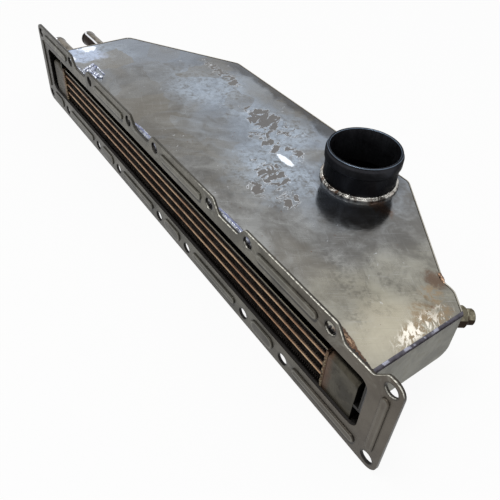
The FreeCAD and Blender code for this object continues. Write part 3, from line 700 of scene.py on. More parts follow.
@dataclass(frozen=True)
class FlangeFinish(Finish):
    """Dull rolled sheet: wear and a painted highlight on the crests of its beads, grime and painted crease
    shade at their feet, painted shadows beneath them, dark hole rims, dark cut edges and a painted highlight
    along its upper edge.

    The lower edge repeats the upper one turned end for end, so one set of distances serves both.
    """

    brown: Colour = tone(84, 74, 64)
    soot_and_shade: Colour = tone(26, 22, 20)
    black: Colour = tone(30, 27, 25)
    wear_and_highlight: Colour = tone(150, 150, 140)
    edge: Colour = tone(226, 224, 212)
    shadow_drop: float = 4.0
    pitch: float = 180.0
    bead_x: float = 57.0
    bead_z: float = 46.5
    bead_long: float = 84.0
    bead_wide: float = 9.5
    oval_x: float = -33.0
    oval_long: float = 36.0
    oval_wide: float = 15.0
    end_x: float = 359.0
    end_long: float = 74.0
    end_wide: float = 8.0
    hole_x: float = -66.0
    hole_z: float = 49.0
    hole_radius: float = 6.5

    def along(self, s: Shader, centre: float) -> Value:
        """Distance in X from the nearest of the places that repeat along the upper and the lower edge."""
        return (s.x * s.z.sign()).nearest(centre, self.pitch)

    def pill(self, s: Shader, centre: float, long: float, wide: float, drop: float = 0.0) -> Value:
        """Distance from the outline of a bead that repeats along the flange, below 0 inside it.

        Args:
            s: The shader.
            centre: The X of one of the beads in the upper row.
            long: The bead's length.
            wide: The bead's width.
            drop: How far below the bead the outline is taken.

        Returns:
            The distance in millimetres.
        """
        past = (abs(self.along(s, centre)) - (long - wide) / 2).most(0.0)
        up = abs(s.z) - self.bead_z + s.z.sign() * drop
        return past.hypot(up) - wide / 2

    def hole(self, s: Shader, centre: float) -> Value:
        """Distance from the rim of the nearest hole of one row."""
        return self.along(s, centre).hypot(abs(s.z) - self.hole_z) - self.hole_radius

    def wear(self, look: Look) -> None:
        """Dirt in clouds, round the pressed forms and on the cut edges.

        Args:
            look: The surface so far.
        """
        smudge = look.shader.noise(24.0, 8.0, 0.68, 1.2, shift=220.0)
        fine = look.shader.noise(3.0, 5.0, 0.6, 0.4, shift=15.0)
        self.clouds(look, smudge)
        self.relief(look, fine)
        self.cuts(look, smudge, fine)
        look.height = look.height + smudge * 0.1 + fine * 0.02

    def clouds(self, look: Look, smudge: Value) -> None:
        """Brown towards the near end, black below and at the far end, lighter in patches along the top.

        Args:
            look: The surface so far.
            smudge: A noise of middle size.
        """
        s = look.shader
        low = (s.z + smudge.swing(40)).ease(-20, -60)
        far = (s.x + smudge.swing(120)).ease(-200, -350)
        look.lay(self.brown, (s.x + smudge.swing(160)).ease(180, 350) * 0.6)
        look.lay(self.black, (low * (0.35 + s.x.ease(180, -60) * 0.2)).most(far * 0.62))
        look.lay(self.wear_and_highlight, smudge.ease(0.52, 0.66) * s.z.ease(20, 50) * 0.35)

    def relief(self, look: Look, fine: Value) -> None:
        """Crests lightened by wear and a painted highlight, feet darkened by grime and painted crease shade,
        painted shadows beneath the beads and inside the ovals, and dark hole rims.

        Args:
            look: The surface so far.
            fine: A fine noise.
        """
        s = look.shader
        past = (abs(s.z) - (self.end_long - self.end_wide) / 2).most(0.0)
        ends = past.hypot(abs(s.x) - self.end_x) - self.end_wide / 2
        at_end = abs(s.x).ease(346, 350)
        beads = self.pill(s, self.bead_x, self.bead_long, self.bead_wide).least(ends)
        ovals = self.pill(s, self.oval_x, self.oval_long, self.oval_wide) + s.z.ease(-20, 0) * 99
        foot = beads.least(ovals) + fine.swing(0.8)
        # Crests lightened: wear and a painted highlight.
        crest = foot.ease(-3.2, -1.9) * foot.ease(-0.8, -1.7)
        look.lay(self.wear_and_highlight, crest * (1 - at_end * 0.7) * 0.35)
        # Feet darkened: grime and painted crease shade.
        dirt_and_shade = foot.ease(-0.9, 0.1) * foot.ease(1.9, 0.5)
        look.lay(self.black, dirt_and_shade * (1 - at_end * 0.6) * 0.5)
        beneath = self.pill(s, self.bead_x, self.bead_long, self.bead_wide, self.shadow_drop)
        shade = (beneath + fine.swing(0.8)).ease(0.8, -0.6) * foot.ease(-0.2, 0.6)
        look.lay(self.black, shade * 0.85)
        look.lay(self.black, ovals.ease(-0.5, -4.0) * 0.35)
        rims = self.hole(s, 0.0).least(self.hole(s, self.hole_x)) + fine.swing(1.2)
        look.lay(self.black, rims.ease(1.8, 0.4) * 0.55)

    def cuts(self, look: Look, smudge: Value, fine: Value) -> None:
        """Dark cut edges, a sill below the core darkened as painted shade, and a painted highlight line along
        the upper edge.

        Args:
            look: The surface so far.
            smudge: A noise of middle size.
            fine: A fine noise.
        """
        s = look.shader
        cut = (1 - abs(s.north)).ease(0.3, 0.7) * s.y.ease(-0.1, 0.2)
        look.lay(self.black, cut * 0.7)
        # The sill below the core is darkened as painted shade.
        sill = cut * s.top.ease(0.3, 0.7) * s.z.ease(0, -10) * s.y.ease(0.3, 0.6)
        look.lay(self.soot_and_shade, sill * 0.97)
        # A painted highlight on the upward cut edges of the upper half.
        line = cut * s.top.ease(0.2, 0.6) * s.z.ease(40, 44) * s.y.ease(1.5, 0.8)
        line = line * (s.x + smudge.swing(60)).ease(60, 130)
        look.lay(self.edge, line * (fine.ease(0.40, 0.58) * 0.6 + 0.3))
        look.metallic = look.metallic * (1 - sill)
        look.roughness = look.roughness + sill * 0.4


@dataclass(frozen=True)
class WeldFinish(Finish):
    """Lumpy weld metal with a painted highlight on its crests, painted shade in its valleys and a heat tint.
    """

    heat: Colour = tone(120, 84, 60)
    heat_share: float = 0.4
    lump: float = 3.2
    lump_depth: float = 0.5

    def plain(self, s: Shader) -> Look:
        """The weld's lumps and tints.

        Args:
            s: The shader to build it in.

        Returns:
            The surface.
        """
        lump = s.noise(self.lump, 5.0, 0.6, 0.8)
        # The colour follows the lumps' height: painted highlight on crests, painted shade in valleys.
        look = Look(
            s,
            colour=s.mix(self.dark, self.light, lump.ease(0.40, 0.60)),
            roughness=self.smooth + (1 - lump) * (self.dull - self.smooth),
            metallic=self.metallic,
            height=lump * self.lump_depth,
        )
        tint = s.noise(14.0, 4.0, 0.6, 0.6, shift=66.0)
        look.lay(self.heat, tint.ease(0.48, 0.62) * self.heat_share)
        dirt_and_shade = s.noise(5.0, 6.0, 0.7, shift=8.0)
        look.lay(self.grime, dirt_and_shade.ease(0.56, 0.70) * self.grime_share)
        return look


@dataclass(frozen=True)
class JointFinish(WeldFinish):
    """The weld between the flange and the hood: bright pools at the scallops, sooty elsewhere."""

    roof: float = 41.0
    pool: float = -33.0
    pitch: float = 180.0
    blue: Colour = tone(86, 96, 150)

    def wear(self, look: Look) -> None:
        """Darken the weld away from the pools and below the roof, and tint it blue along its top.

        Args:
            look: The surface so far.
        """
        s = look.shader
        away = abs(s.x.nearest(self.pool, self.pitch)).ease(25, 31)
        bare = away.most(s.x.ease(200, 240)).most(s.z.ease(self.roof, self.roof - 1.0))
        streak = abs(s.y - 6.4 + s.x.sine() * 0.2).ease(1.3, 0.5) * s.x.ease(-120, -90)
        look.lay(self.blue, streak * 0.6)
        look.lay(self.grime, bare * 0.9)


@dataclass(frozen=True)
class SidedFinish(Finish):
    """Metal with a painted highlight on its upper faces and painted shade on its undersides."""

    bright: Colour = tone(176, 172, 150)
    under: Colour = tone(40, 31, 26)
    patchy: float = 0.0

    def wear(self, look: Look) -> None:
        """Brighten the metal above with a painted highlight and darken it below with painted shade.

        Args:
            look: The surface so far.
        """
        s = look.shader
        facing = s.top + s.noise(3.0, 5.0, 0.6, 0.5, shift=17.0).swing(0.5)
        patches = s.noise(self.cloud, 3.0, 0.5, shift=47.0).ease(0.50, 0.60)
        share = patches * self.patchy + (1 - self.patchy)
        # Painted highlight on upward faces and painted shade on undersides.
        look.lay(self.bright, facing.ease(0.62, 0.9) * share * 0.8)
        look.lay(self.under, facing.ease(0.42, 0.05) * 0.9)


@dataclass(frozen=True)
class TubeFinish(Finish):
    """Drawn bright tube: a painted highlight line along its top, painted shade and dark reflection on its
    flank, and a dull belly.
    """

    black: Colour = tone(34, 25, 22)
    line: Colour = tone(244, 246, 250)

    def wear(self, look: Look) -> None:
        """Lay the tube's painted bands of shade and highlight, which follow its own round.

        Args:
            look: The surface so far.
        """
        s = look.shader
        stray = s.noise(8.0, 4.0, 0.6, 0.5, stretch=(6.0, 1.0, 1.0), shift=29.0).swing(0.2)
        turn = s.top * 0.57 + s.north * 0.82 + stray
        # Painted shade and dark reflection on the flank, and a painted highlight line above it.
        look.lay(self.black, turn.ease(0.12, 0.02) * 0.95)
        look.lay(self.line, turn.ease(0.08, 0.13) * turn.ease(0.36, 0.28) * 0.95)


@dataclass(frozen=True)
class NoseFinish(Finish):
    """Brazed copper-coloured flat tube: tan along the middle of its nose, scorch beside the fins, painted
    shade towards the back.
    """

    scorch_and_shade: Colour = tone(58, 40, 30)
    first: float = -20.4
    pitch: float = 13.4
    sag: float = 0.15

    def wear(self, look: Look) -> None:
        """Scorch the nose away from its middle, and darken it towards the back as painted shade.

        Args:
            look: The surface so far.
        """
        s = look.shader
        fine = s.noise(4.0, 5.0, 0.6, stretch=(3.0, 1.0, 1.0), shift=13.0)
        away = abs(s.z.nearest(self.first, self.pitch) - self.sag) + fine.swing(0.9)
        look.lay(self.scorch_and_shade, away.ease(0.8, 1.2) * 0.94)
        # Painted shade towards the back, between the fins.
        look.lay(self.scorch_and_shade, s.y.ease(6, 9) * 0.9)


@dataclass(frozen=True)
class PlateFinish(Finish):
    """Core side plate: a light line along its upper edge, partly wear and partly a painted highlight, and
    painted shade elsewhere.
    """

    wear_and_highlight: Colour = tone(150, 142, 122)
    shade: Colour = tone(24, 21, 19)
    worn_from: float = 16.2

    def wear(self, look: Look) -> None:
        """Paint the plate in shade, except along its edge, where a painted highlight lies.

        Args:
            look: The surface so far.
        """
        s = look.shader
        level = s.z + s.noise(5.0, 4.0, shift=71.0).swing(0.6)
        line = level.ease(self.worn_from, self.worn_from + 0.6) * s.y.ease(5.8, 5.0)
        # Painted shade over the plate, with a painted highlight line along its edge.
        look.colour = s.mix(self.shade, self.wear_and_highlight, line * 0.8)


@dataclass(frozen=True)
class ShellFinish(Finish):
    """Folded sheet: plain dull steel outside and painted shade inside."""

    soot_and_shade: Colour = tone(22, 20, 18)

    def wear(self, look: Look) -> None:
        """Darken the inner faces, which look up, forwards or towards the middle, as painted shade.

        Args:
            look: The surface so far.
        """
        s = look.shader
        inner = s.top.ease(0.3, 0.7).most(s.north.ease(-0.3, -0.6))
        inner = inner.most((s.east * s.x.sign()).ease(-0.3, -0.6))
        # Painted shade on the inner faces.
        look.lay(self.soot_and_shade, inner * 0.96)


@dataclass(frozen=True)
class PaintFinish(Finish):
    """Satin black tube, slightly dusty, with a bluish grey on the band and the lip, partly rubbed paint and
    partly a painted highlight.
    """

    rub_and_highlight: Colour = tone(112, 126, 142)
    lip_level: float = 80.3

    def wear(self, look: Look) -> None:
        """Lay a bluish grey on the lip, partly rubbed paint and partly a painted highlight, and turn fine
        rings into the paint.

        Args:
            look: The surface so far.
        """
        s = look.shader
        wear_and_highlight = s.noise(7.0, 6.0, 0.7, 0.6, shift=91.0)
        lip = (s.z + wear_and_highlight.swing(0.8)).ease(self.lip_level, self.lip_level + 0.4) * s.top.ease(0.95, 0.8)
        rings = (s.z * 2.1 + wear_and_highlight * 3).sine().ease(0.6, 1.0)
        # Bluish grey on the lip: rubbed paint and a painted highlight.
        look.lay(self.rub_and_highlight, lip * 0.9)
        look.height = look.height + rings * 0.015
        look.roughness = look.roughness - lip * 0.1


@dataclass(frozen=True)
class TankFinish(Finish):
    """Dull tank sheet: browned and spattered beside the fins, dark where it meets the flange."""

    burnt: Colour = tone(98, 72, 56)
    shade: Colour = tone(14, 13, 12)
    header: float = 296.0
    end_face: float = 331.4

    def wear(self, look: Look) -> None:
        """Brown the tank beside the fins, and darken its ends and underside.

        Args:
            look: The surface so far.
        """
        s = look.shader
        smudge = s.noise(11.0, 8.0, 0.7, 1.0, shift=31.0)
        beside = (abs(s.x) - self.header + smudge.swing(14)).ease(9, 0)
        look.lay(self.burnt, beside * 0.65)
        look.height = look.height + smudge * 0.25 * beside
        end = (s.east * s.x.sign()).ease(0.15, 0.5).most(s.top.ease(-0.2, -0.5))
        end = end.most(abs(s.x).ease(self.end_face, self.end_face + 0.4))
        look.lay(self.shade, end * 0.97)
        look.metallic = look.metallic * (1 - end)
        look.roughness = look.roughness + end * 0.5


FLANGE_STEEL = FlangeFinish(
    "rolled_flange_sheet", tone(103, 100, 90), tone(78, 76, 68), smooth=0.3, dull=0.55, metallic=0.75,
)
ROOF_STEEL = RoofFinish("brushed_roof_sheet", tone(140, 141, 140), tone(99, 98, 96))
PAN_STEEL = ShellFinish("folded_pan_sheet", tone(136, 135, 128), tone(108, 107, 100), dull=0.55)
END_STEEL = ShellFinish(
    "end_sheet", tone(114, 113, 103), tone(95, 94, 86), smooth=0.36, dull=0.6, metallic=0.75,
    grime=tone(110, 104, 78), grime_share=0.5, cloud=22.0, grain_stretch=(1.0, 1.0, 5.0),
)
# A near-black sheet for the inner pieces: painted shade where they lie in the dark.
HIDDEN_STEEL = Finish(
    "painted_shade_sheet", tone(40, 37, 34), tone(27, 25, 23), metallic=0.0, smooth=0.8, dull=0.95, specular=0.1,
)
CAP_STEEL = ShellFinish("cap_sheet", tone(112, 110, 104), tone(88, 86, 80), dull=0.65)
# The sided finishes below carry a painted highlight above and painted shade below.
RIM_WELD = SidedFinish(
    "rim_weld_bead", tone(120, 112, 100), tone(58, 50, 44), bright=tone(176, 172, 160),
    under=tone(34, 26, 22), cloud=5.0, dent=0.5,
)
DARK_WELD = SidedFinish(
    "seam_weld_bead", tone(74, 70, 76), tone(44, 39, 43), bright=tone(176, 178, 194), under=tone(28, 24, 26),
    patchy=0.85, edge_tint=(0.4, 0.4, 0.45), smooth=0.16, dull=0.34, cloud=9.0, dent=0.4,
)
FLANGE_WELD = JointFinish(
    "joint_weld_bead", tone(176, 181, 190), tone(112, 114, 122), grime=tone(40, 36, 34),
    heat=tone(120, 122, 140), grime_share=0.2, smooth=0.14, dull=0.34, lump=6.0, lump_depth=0.3,
)
SPLASH = WeldFinish(
    "splash_bead", tone(232, 238, 250), tone(112, 116, 134), grime=tone(60, 54, 50), heat=tone(120, 128, 170),
    smooth=0.08, dull=0.25, lump=4.0, lump_depth=0.4,
)
BRIGHT_WELD = WeldFinish(
    "bright_weld_bead", tone(206, 204, 198), tone(46, 41, 37), smooth=0.12, dull=0.3, heat_share=0.35,
    lump=9.0, lump_depth=0.8,
)
COPPER_WELD = WeldFinish(
    "copper_weld_bead", tone(190, 158, 132), tone(58, 38, 30), heat=tone(104, 66, 48), smooth=0.16, dull=0.34,
)
BRAZE = WeldFinish(
    "braze_lumps", tone(130, 118, 96), tone(64, 52, 42), heat=tone(120, 88, 62), smooth=0.3, dull=0.5,
    lump=2.4,
)
BLACK_PIPE = PaintFinish(
    "black_tube", tone(54, 55, 59), tone(36, 36, 39), grime=tone(40, 38, 36), metallic=0.7, smooth=0.3,
    dull=0.46, dent=0.05, specular=0.1, edge_tint=(0.10, 0.11, 0.14),
)
POLISHED_TUBE = TubeFinish(
    "drawn_tube", tone(122, 116, 106), tone(74, 69, 62), smooth=0.1, dull=0.28, metallic=1.0,
    grime=tone(70, 60, 50), grime_share=0.4, cloud=18.0, grain_stretch=(12.0, 1.0, 1.0), dent=0.03,
)
TANK_METAL = TankFinish(
    "tank_sheet", tone(84, 80, 70), tone(60, 57, 50), dull=0.62, cloud=20.0, dent=0.3, specular=0.0,
)
CORE_PLATE = PlateFinish("core_plate_sheet", tone(84, 80, 72), tone(60, 56, 50), grime_share=0.5, cloud=14.0)
COPPER_TUBE = NoseFinish(
    "flat_tube_nose", tone(196, 166, 132), tone(158, 122, 92), grime=tone(112, 76, 52), grime_share=0.6,
    metallic=0.5, smooth=0.34, dull=0.6, cloud=30.0, dent=0.05,
)
DARK_FOIL = Finish(
    "dark_foil", tone(78, 72, 68), tone(46, 42, 39), grime=tone(24, 20, 18), metallic=0.3, smooth=0.5,
    dull=0.75, cloud=9.0, dent=0.02, specular=0.2,
)
FITTING = SidedFinish(
    "turned_fitting", tone(100, 95, 81), tone(62, 57, 48), grime=tone(44, 35, 28), grime_share=0.7,
    bright=tone(158, 153, 132), patchy=0.7, dent=0.3, smooth=0.3, dull=0.55, cloud=7.0, grain_stretch=EVEN,
    edge_tint=(0.4, 0.38, 0.34),
)
WASHER = SidedFinish("crushed_washer", tone(70, 58, 46), tone(40, 32, 26), smooth=0.3, dull=0.5, cloud=5.0)


def add_piece(
    name: str,
    mesh: bpy.types.Mesh,
    finish: Finish,
    slot: str,
    replaced: Sequence[str] = (),
) -> bpy.types.Object:
    """Put a finished mesh into the scene as a piece of the object.

    Args:
        name: The piece's name.
        mesh: Its mesh, in place.
        finish: Its finish.
        slot: The record's slot that the finish comes from; it is not used.
        replaced: The CAD nodes that it stands for.

    Returns:
        The piece.
    """
    mesh.name = name
    mesh.materials.clear()
    mesh.materials.append(finish.material())
    piece = bpy.data.objects.new(name, mesh)
    bpy.context.scene.collection.objects.link(piece)
    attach(piece, ROOT)
    if replaced:
        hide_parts(*replaced)
    log.info("%s: %d faces, %s", name, len(mesh.polygons), finish.name)
    return piece


def plain_mesh(holder: bpy.types.Object) -> bpy.types.Mesh:
    """The mesh that an object's modifiers give, with the object itself removed.

    Args:
        holder: The object.

    Returns:
        The mesh.
    """
    bpy.context.view_layer.update()
    graph = bpy.context.evaluated_depsgraph_get()
    mesh = bpy.data.meshes.new_from_object(holder.evaluated_get(graph), depsgraph=graph)
    holder.modifiers.clear()
    bpy.data.objects.remove(holder)
    return mesh


def dress(node: str, finish: Finish) -> None:
    """Give a CAD node that keeps its own mesh a finish.

    Args:
        node: The node's name.
        finish: Its finish.
    """
    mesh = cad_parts[node].data
    mesh.materials.clear()
    mesh.materials.append(finish.material())
    log.info("%s keeps its mesh, %s", node, finish.name)


@dataclass(frozen=True)
class Softened:
    """A copy of a CAD node whose sharp edges are broken, as on real sheet and bar."""

    node: str
    finish: Finish
    slot: str
    width: float = 0.4 * MM
    sharp: float = 32.0
    broad: float = 400 * MM * MM
    apart: float = 0.002 * MM
    flat: float = 0.6

    def build(self) -> bpy.types.Object:
        """Make the copy and stand it in for its node.

        Returns:
            The piece.
        """
        holder = self.blank()
        bevel = holder.modifiers.new("edges", "BEVEL")
        bevel.width = self.width
        bevel.segments = 2
        bevel.limit_method = "ANGLE"
        bevel.angle_limit = math.radians(self.sharp)
        bevel.use_clamp_overlap = True
        bevel.harden_normals = True
        mesh = plain_mesh(holder)
        normals = [corner.vector.copy() for corner in mesh.corner_normals]
        for polygon in mesh.polygons:
            if polygon.area > self.broad:
                for corner in polygon.loop_indices:
                    normals[corner] = polygon.normal.copy()
        mesh.normals_split_custom_set(normals)
        return add_piece(self.node + "_shown", mesh, self.finish, self.slot, (self.node,))

    def blank(self) -> bpy.types.Object:
        """A smooth copy of the node in which flat faces are whole.

        Returns:
            The copy, in the scene.
        """
        solid = bmesh.new()
        solid.from_mesh(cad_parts[self.node].data)
        bmesh.ops.remove_doubles(solid, verts=solid.verts, dist=self.apart)
        flat = math.radians(self.flat)
        bmesh.ops.dissolve_limit(solid, angle_limit=flat, verts=solid.verts, edges=solid.edges)
        for face in solid.faces:
            face.smooth = True
        mesh = bpy.data.meshes.new(self.node)
        solid.to_mesh(mesh)
        solid.free()
        holder = bpy.data.objects.new(self.node + "_blank", mesh)
        bpy.context.scene.collection.objects.link(holder)
        return holder


class Kind(Enum):
    """What a Geometry Nodes socket carries."""

    GEOMETRY = "NodeSocketGeometry"
    LENGTH = "NodeSocketFloat"
    COUNT = "NodeSocketInt"
    MATERIAL = "NodeSocketMaterial"


class GeometryTree(Tree):
    """A Geometry Nodes tree with named inputs, and the modifier that runs it."""

    def __init__(self, name: str, inputs: dict[str, Kind]) -> None:
        """Start a tree.

        Args:
            name: The tree's name.
            inputs: Its inputs' names and kinds, after the geometry.
        """
        super().__init__(bpy.data.node_groups.new(name, "GeometryNodeTree"))
        self.socket("Geometry", Kind.GEOMETRY)
        self.socket("Geometry", Kind.GEOMETRY, "OUTPUT")
        self.identifiers = {label: self.socket(label, kind) for label, kind in inputs.items()}
        self.source = self.node("NodeGroupInput")

    def socket(self, label: str, kind: Kind, way: str = "INPUT") -> str:
        """Add an input or an output to the tree and give its identifier."""
        return self.tree.interface.new_socket(label, in_out=way, socket_type=kind.value).identifier

    def given(self, label: str) -> bpy.types.NodeSocket:
        """The socket that carries one of the tree's inputs."""
        return self.source.outputs[label]

    def number(self, label: str) -> Value:
        """One of the tree's inputs as a number to work with."""
        return Value(self, self.given(label))

    def vector(self, x: Any = 0.0, y: Any = 0.0, z: Any = 0.0) -> bpy.types.NodeSocket:
        """A vector from three numbers or values."""
        return self.result("ShaderNodeCombineXYZ", sockets={0: x, 1: y, 2: z})

    def line(self, count: Any, offset: Any) -> bpy.types.NodeSocket:
        """A line of points, each at an offset from the one before."""
        return self.result("GeometryNodeMeshLine", {"mode": "OFFSET"}, {"Count": count, "Offset": offset})

    def moved(self, points: Any, offset: Any) -> bpy.types.NodeSocket:
        """Points moved by an offset."""
        return self.result("GeometryNodeSetPosition", sockets={0: points, "Offset": offset})

    def finish(self, geometry: bpy.types.NodeSocket) -> None:
        """End the tree: make instances real, smooth them and give them the material.

        Args:
            geometry: What the tree has made.
        """
        real = self.result("GeometryNodeRealizeInstances", sockets={0: geometry})
        smooth = self.result("GeometryNodeSetShadeSmooth", sockets={0: real})
        sockets = {0: smooth, "Material": self.given("Material")}
        self.node("NodeGroupOutput", sockets={0: self.result("GeometryNodeSetMaterial", sockets=sockets)})

    def run(self, mesh: bpy.types.Mesh, values: dict[str, Any]) -> bpy.types.Mesh:
        """Run the tree on a mesh.

        Args:
            mesh: What goes into the tree.
            values: The inputs' values by name.

        Returns:
            The plain mesh that comes out.
        """
        holder = bpy.data.objects.new(self.tree.name, mesh)
        bpy.context.scene.collection.objects.link(holder)
        modifier = holder.modifiers.new(self.tree.name, "NODES")
        modifier.node_group = self.tree
        for label, content in values.items():
            modifier[self.identifiers[label]] = content
        return plain_mesh(holder)


def line_mesh(points: Iterable[Vector], closed: bool = False) -> bpy.types.Mesh:
    """A mesh of edges through points, for a tree that follows a path.

    Args:
        points: The points, in order.
        closed: Whether the last point joins the first.

    Returns:
        The mesh.
    """
    places = [tuple(point) for point in points]
    edges = [(index, index + 1) for index in range(len(places) - 1)]
    if closed:
        edges.append((len(places) - 1, 0))
    mesh = bpy.data.meshes.new("path")
    mesh.from_pydata(places, edges, [])
    return mesh


def circle(radius: float, steps: int) -> list[tuple[float, float]]:
    """Points on a circle round 0, in order."""
    turns = (math.tau * step / steps for step in range(steps))
    return [(radius * math.cos(turn), radius * math.sin(turn)) for turn in turns]


def joined(name: str, parts: Iterable[bpy.types.Mesh]) -> bpy.types.Mesh:
    """Several meshes as one.

    Args:
        name: The new mesh's name.
        parts: The meshes.

    Returns:
        The new mesh.
    """
    together = bmesh.new()
    for part in parts:
        together.from_mesh(part)
    mesh = bpy.data.meshes.new(name)
    together.to_mesh(mesh)
    together.free()
    return mesh


@dataclass(frozen=True)
class Ripples:
    """How a weld's ripples lie: their seed, the distance between them, their radius across the bead.

    The unevenness is how far their size strays, as a share. The squash is their length along the bead
    as a share of their width.
    """

    seed: int
    spacing: float
    radius: float
    unevenness: float
    squash: float = 0.55


@dataclass
class WeldBead:
    """A run of weld: overlapping ripples along a path, uneven in size."""

    tree: GeometryTree = field(init=False)

    def __post_init__(self) -> None:
        """Build the tree that every bead uses."""
        sizes = dict.fromkeys(("Spacing", "Radius", "Squash", "Unevenness"), Kind.LENGTH)
        tree = GeometryTree("weld_bead", {**sizes, "Seed": Kind.COUNT, "Material": Kind.MATERIAL})
        path = tree.result("GeometryNodeMeshToCurve", sockets={0: tree.given("Geometry")})
        spacing = {"Curve": path, "Length": tree.given("Spacing")}
        spaced = tree.result("GeometryNodeResampleCurve", {"mode": "LENGTH"}, spacing)
        tangent = tree.result("GeometryNodeInputTangent")
        aligned = tree.result("FunctionNodeAlignRotationToVector", {"axis": "X"}, {"Vector": tangent})
        ball = {"Radius": tree.given("Radius"), "Subdivisions": 2}
        ripple = tree.result("GeometryNodeMeshIcoSphere", sockets=ball)
        stray = tree.number("Unevenness")
        reach = {2: 1 - stray, 3: 1 + stray, "Seed": tree.given("Seed")}
        size = tree.node("FunctionNodeRandomValue", {"data_type": "FLOAT"}, reach).outputs[1]
        shape = {0: tree.vector(tree.given("Squash"), 1.0, 1.0), "Scale": size}
        scaled = tree.result("ShaderNodeVectorMath", {"operation": "SCALE"}, shape)
        placing = {"Points": spaced, "Instance": ripple, "Rotation": aligned, "Scale": scaled}
        tree.finish(tree.result("GeometryNodeInstanceOnPoints", sockets=placing))
        self.tree = tree

    def run(self, path: bpy.types.Mesh, finish: Finish, ripples: Ripples) -> bpy.types.Mesh:
        """One bead along a path.

        Args:
            path: The line that it follows.
            finish: The weld's finish.
            ripples: How its ripples lie.

        Returns:
            The bead's mesh.
        """
        sizes = {
            "Spacing": ripples.spacing,
            "Radius": ripples.radius,
            "Squash": ripples.squash,
            "Unevenness": ripples.unevenness,
            "Seed": ripples.seed,
        }
        return self.tree.run(path, {**sizes, "Material": finish.material()})


@dataclass
class FinWave:
    """Corrugated foil between two flat tubes, in rows that are offset from each other."""

    pitch: float = 2.6 * MM
    foil: float = 0.15 * MM
    rows: int = 6
    steps: int = 8
    steepness: float = 1.42
    row_shift: float = 0.25
    tree: GeometryTree = field(init=False)

    def __post_init__(self) -> None:
        """Build the tree that every strip uses."""
        lengths = dict.fromkeys(("Height", "Row Depth", "Pitch"), Kind.LENGTH)
        counts = dict.fromkeys(("Points", "Rows"), Kind.COUNT)
        tree = GeometryTree("fin_wave", {**lengths, **counts, "Material": Kind.MATERIAL})
        index = Value(tree, tree.result("GeometryNodeInputIndex"))
        line = tree.line(tree.given("Points"), tree.vector(tree.number("Pitch") / self.steps))
        wave = (index * (math.tau / self.steps)).sine() * self.steepness
        capped = Value(tree, tree.result("ShaderNodeClamp", sockets={0: wave, 1: -1.0, 2: 1.0}))
        waved = tree.moved(line, tree.vector(z=capped * (tree.number("Height") * 0.5)))
        depth = tree.vector(y=tree.given("Row Depth"))
        pulled = {0: waved, "Offset": depth, "Offset Scale": 1.0}
        foil = tree.result("GeometryNodeExtrudeMesh", {"mode": "EDGES"}, pulled)
        aside = tree.vector(index % 2.0 * tree.number("Pitch") * self.row_shift)
        rows = tree.moved(tree.line(tree.given("Rows"), depth), aside)
        tree.finish(tree.result("GeometryNodeInstanceOnPoints", sockets={"Points": rows, "Instance": foil}))
        self.tree = tree

    def run(self, node: str, finish: Finish) -> bpy.types.Mesh:
        """The foil that fills one fin strip's box.

        Args:
            node: The CAD strip.
            finish: The foil's finish.

        Returns:
            The foil's mesh.
        """
        low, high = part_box(node)
        span = high - low
        waves = int((span.x - self.pitch) / self.pitch)
        mesh = self.tree.run(
            line_mesh([Vector((0, 0, 0)), Vector((0, 0, MM))]),
            {
                "Height": span.z - 2 * self.foil,
                "Row Depth": span.y / self.rows,
                "Pitch": self.pitch,
                "Points": waves * self.steps + 1,
                "Rows": self.rows,
                "Material": finish.material(),
            },
        )
        start = (low.x + high.x - (waves + self.row_shift) * self.pitch) / 2
        mesh.transform(Matrix.Translation((start, low.y, (low.z + high.z) / 2)))
        return mesh


@dataclass(frozen=True)
class Scallop:
    """The weld in one of the flange's scallops: its middle in millimetres, its lumps and their unevenness."""

    centre: float
    lump: float
    stray: float


@dataclass(frozen=True)
class Ridge:
    """One ridge of splashed weld: its two ends in plan and its radius, in millimetres."""

    x: float
    y: float
    end_x: float
    end_y: float
    radius: float


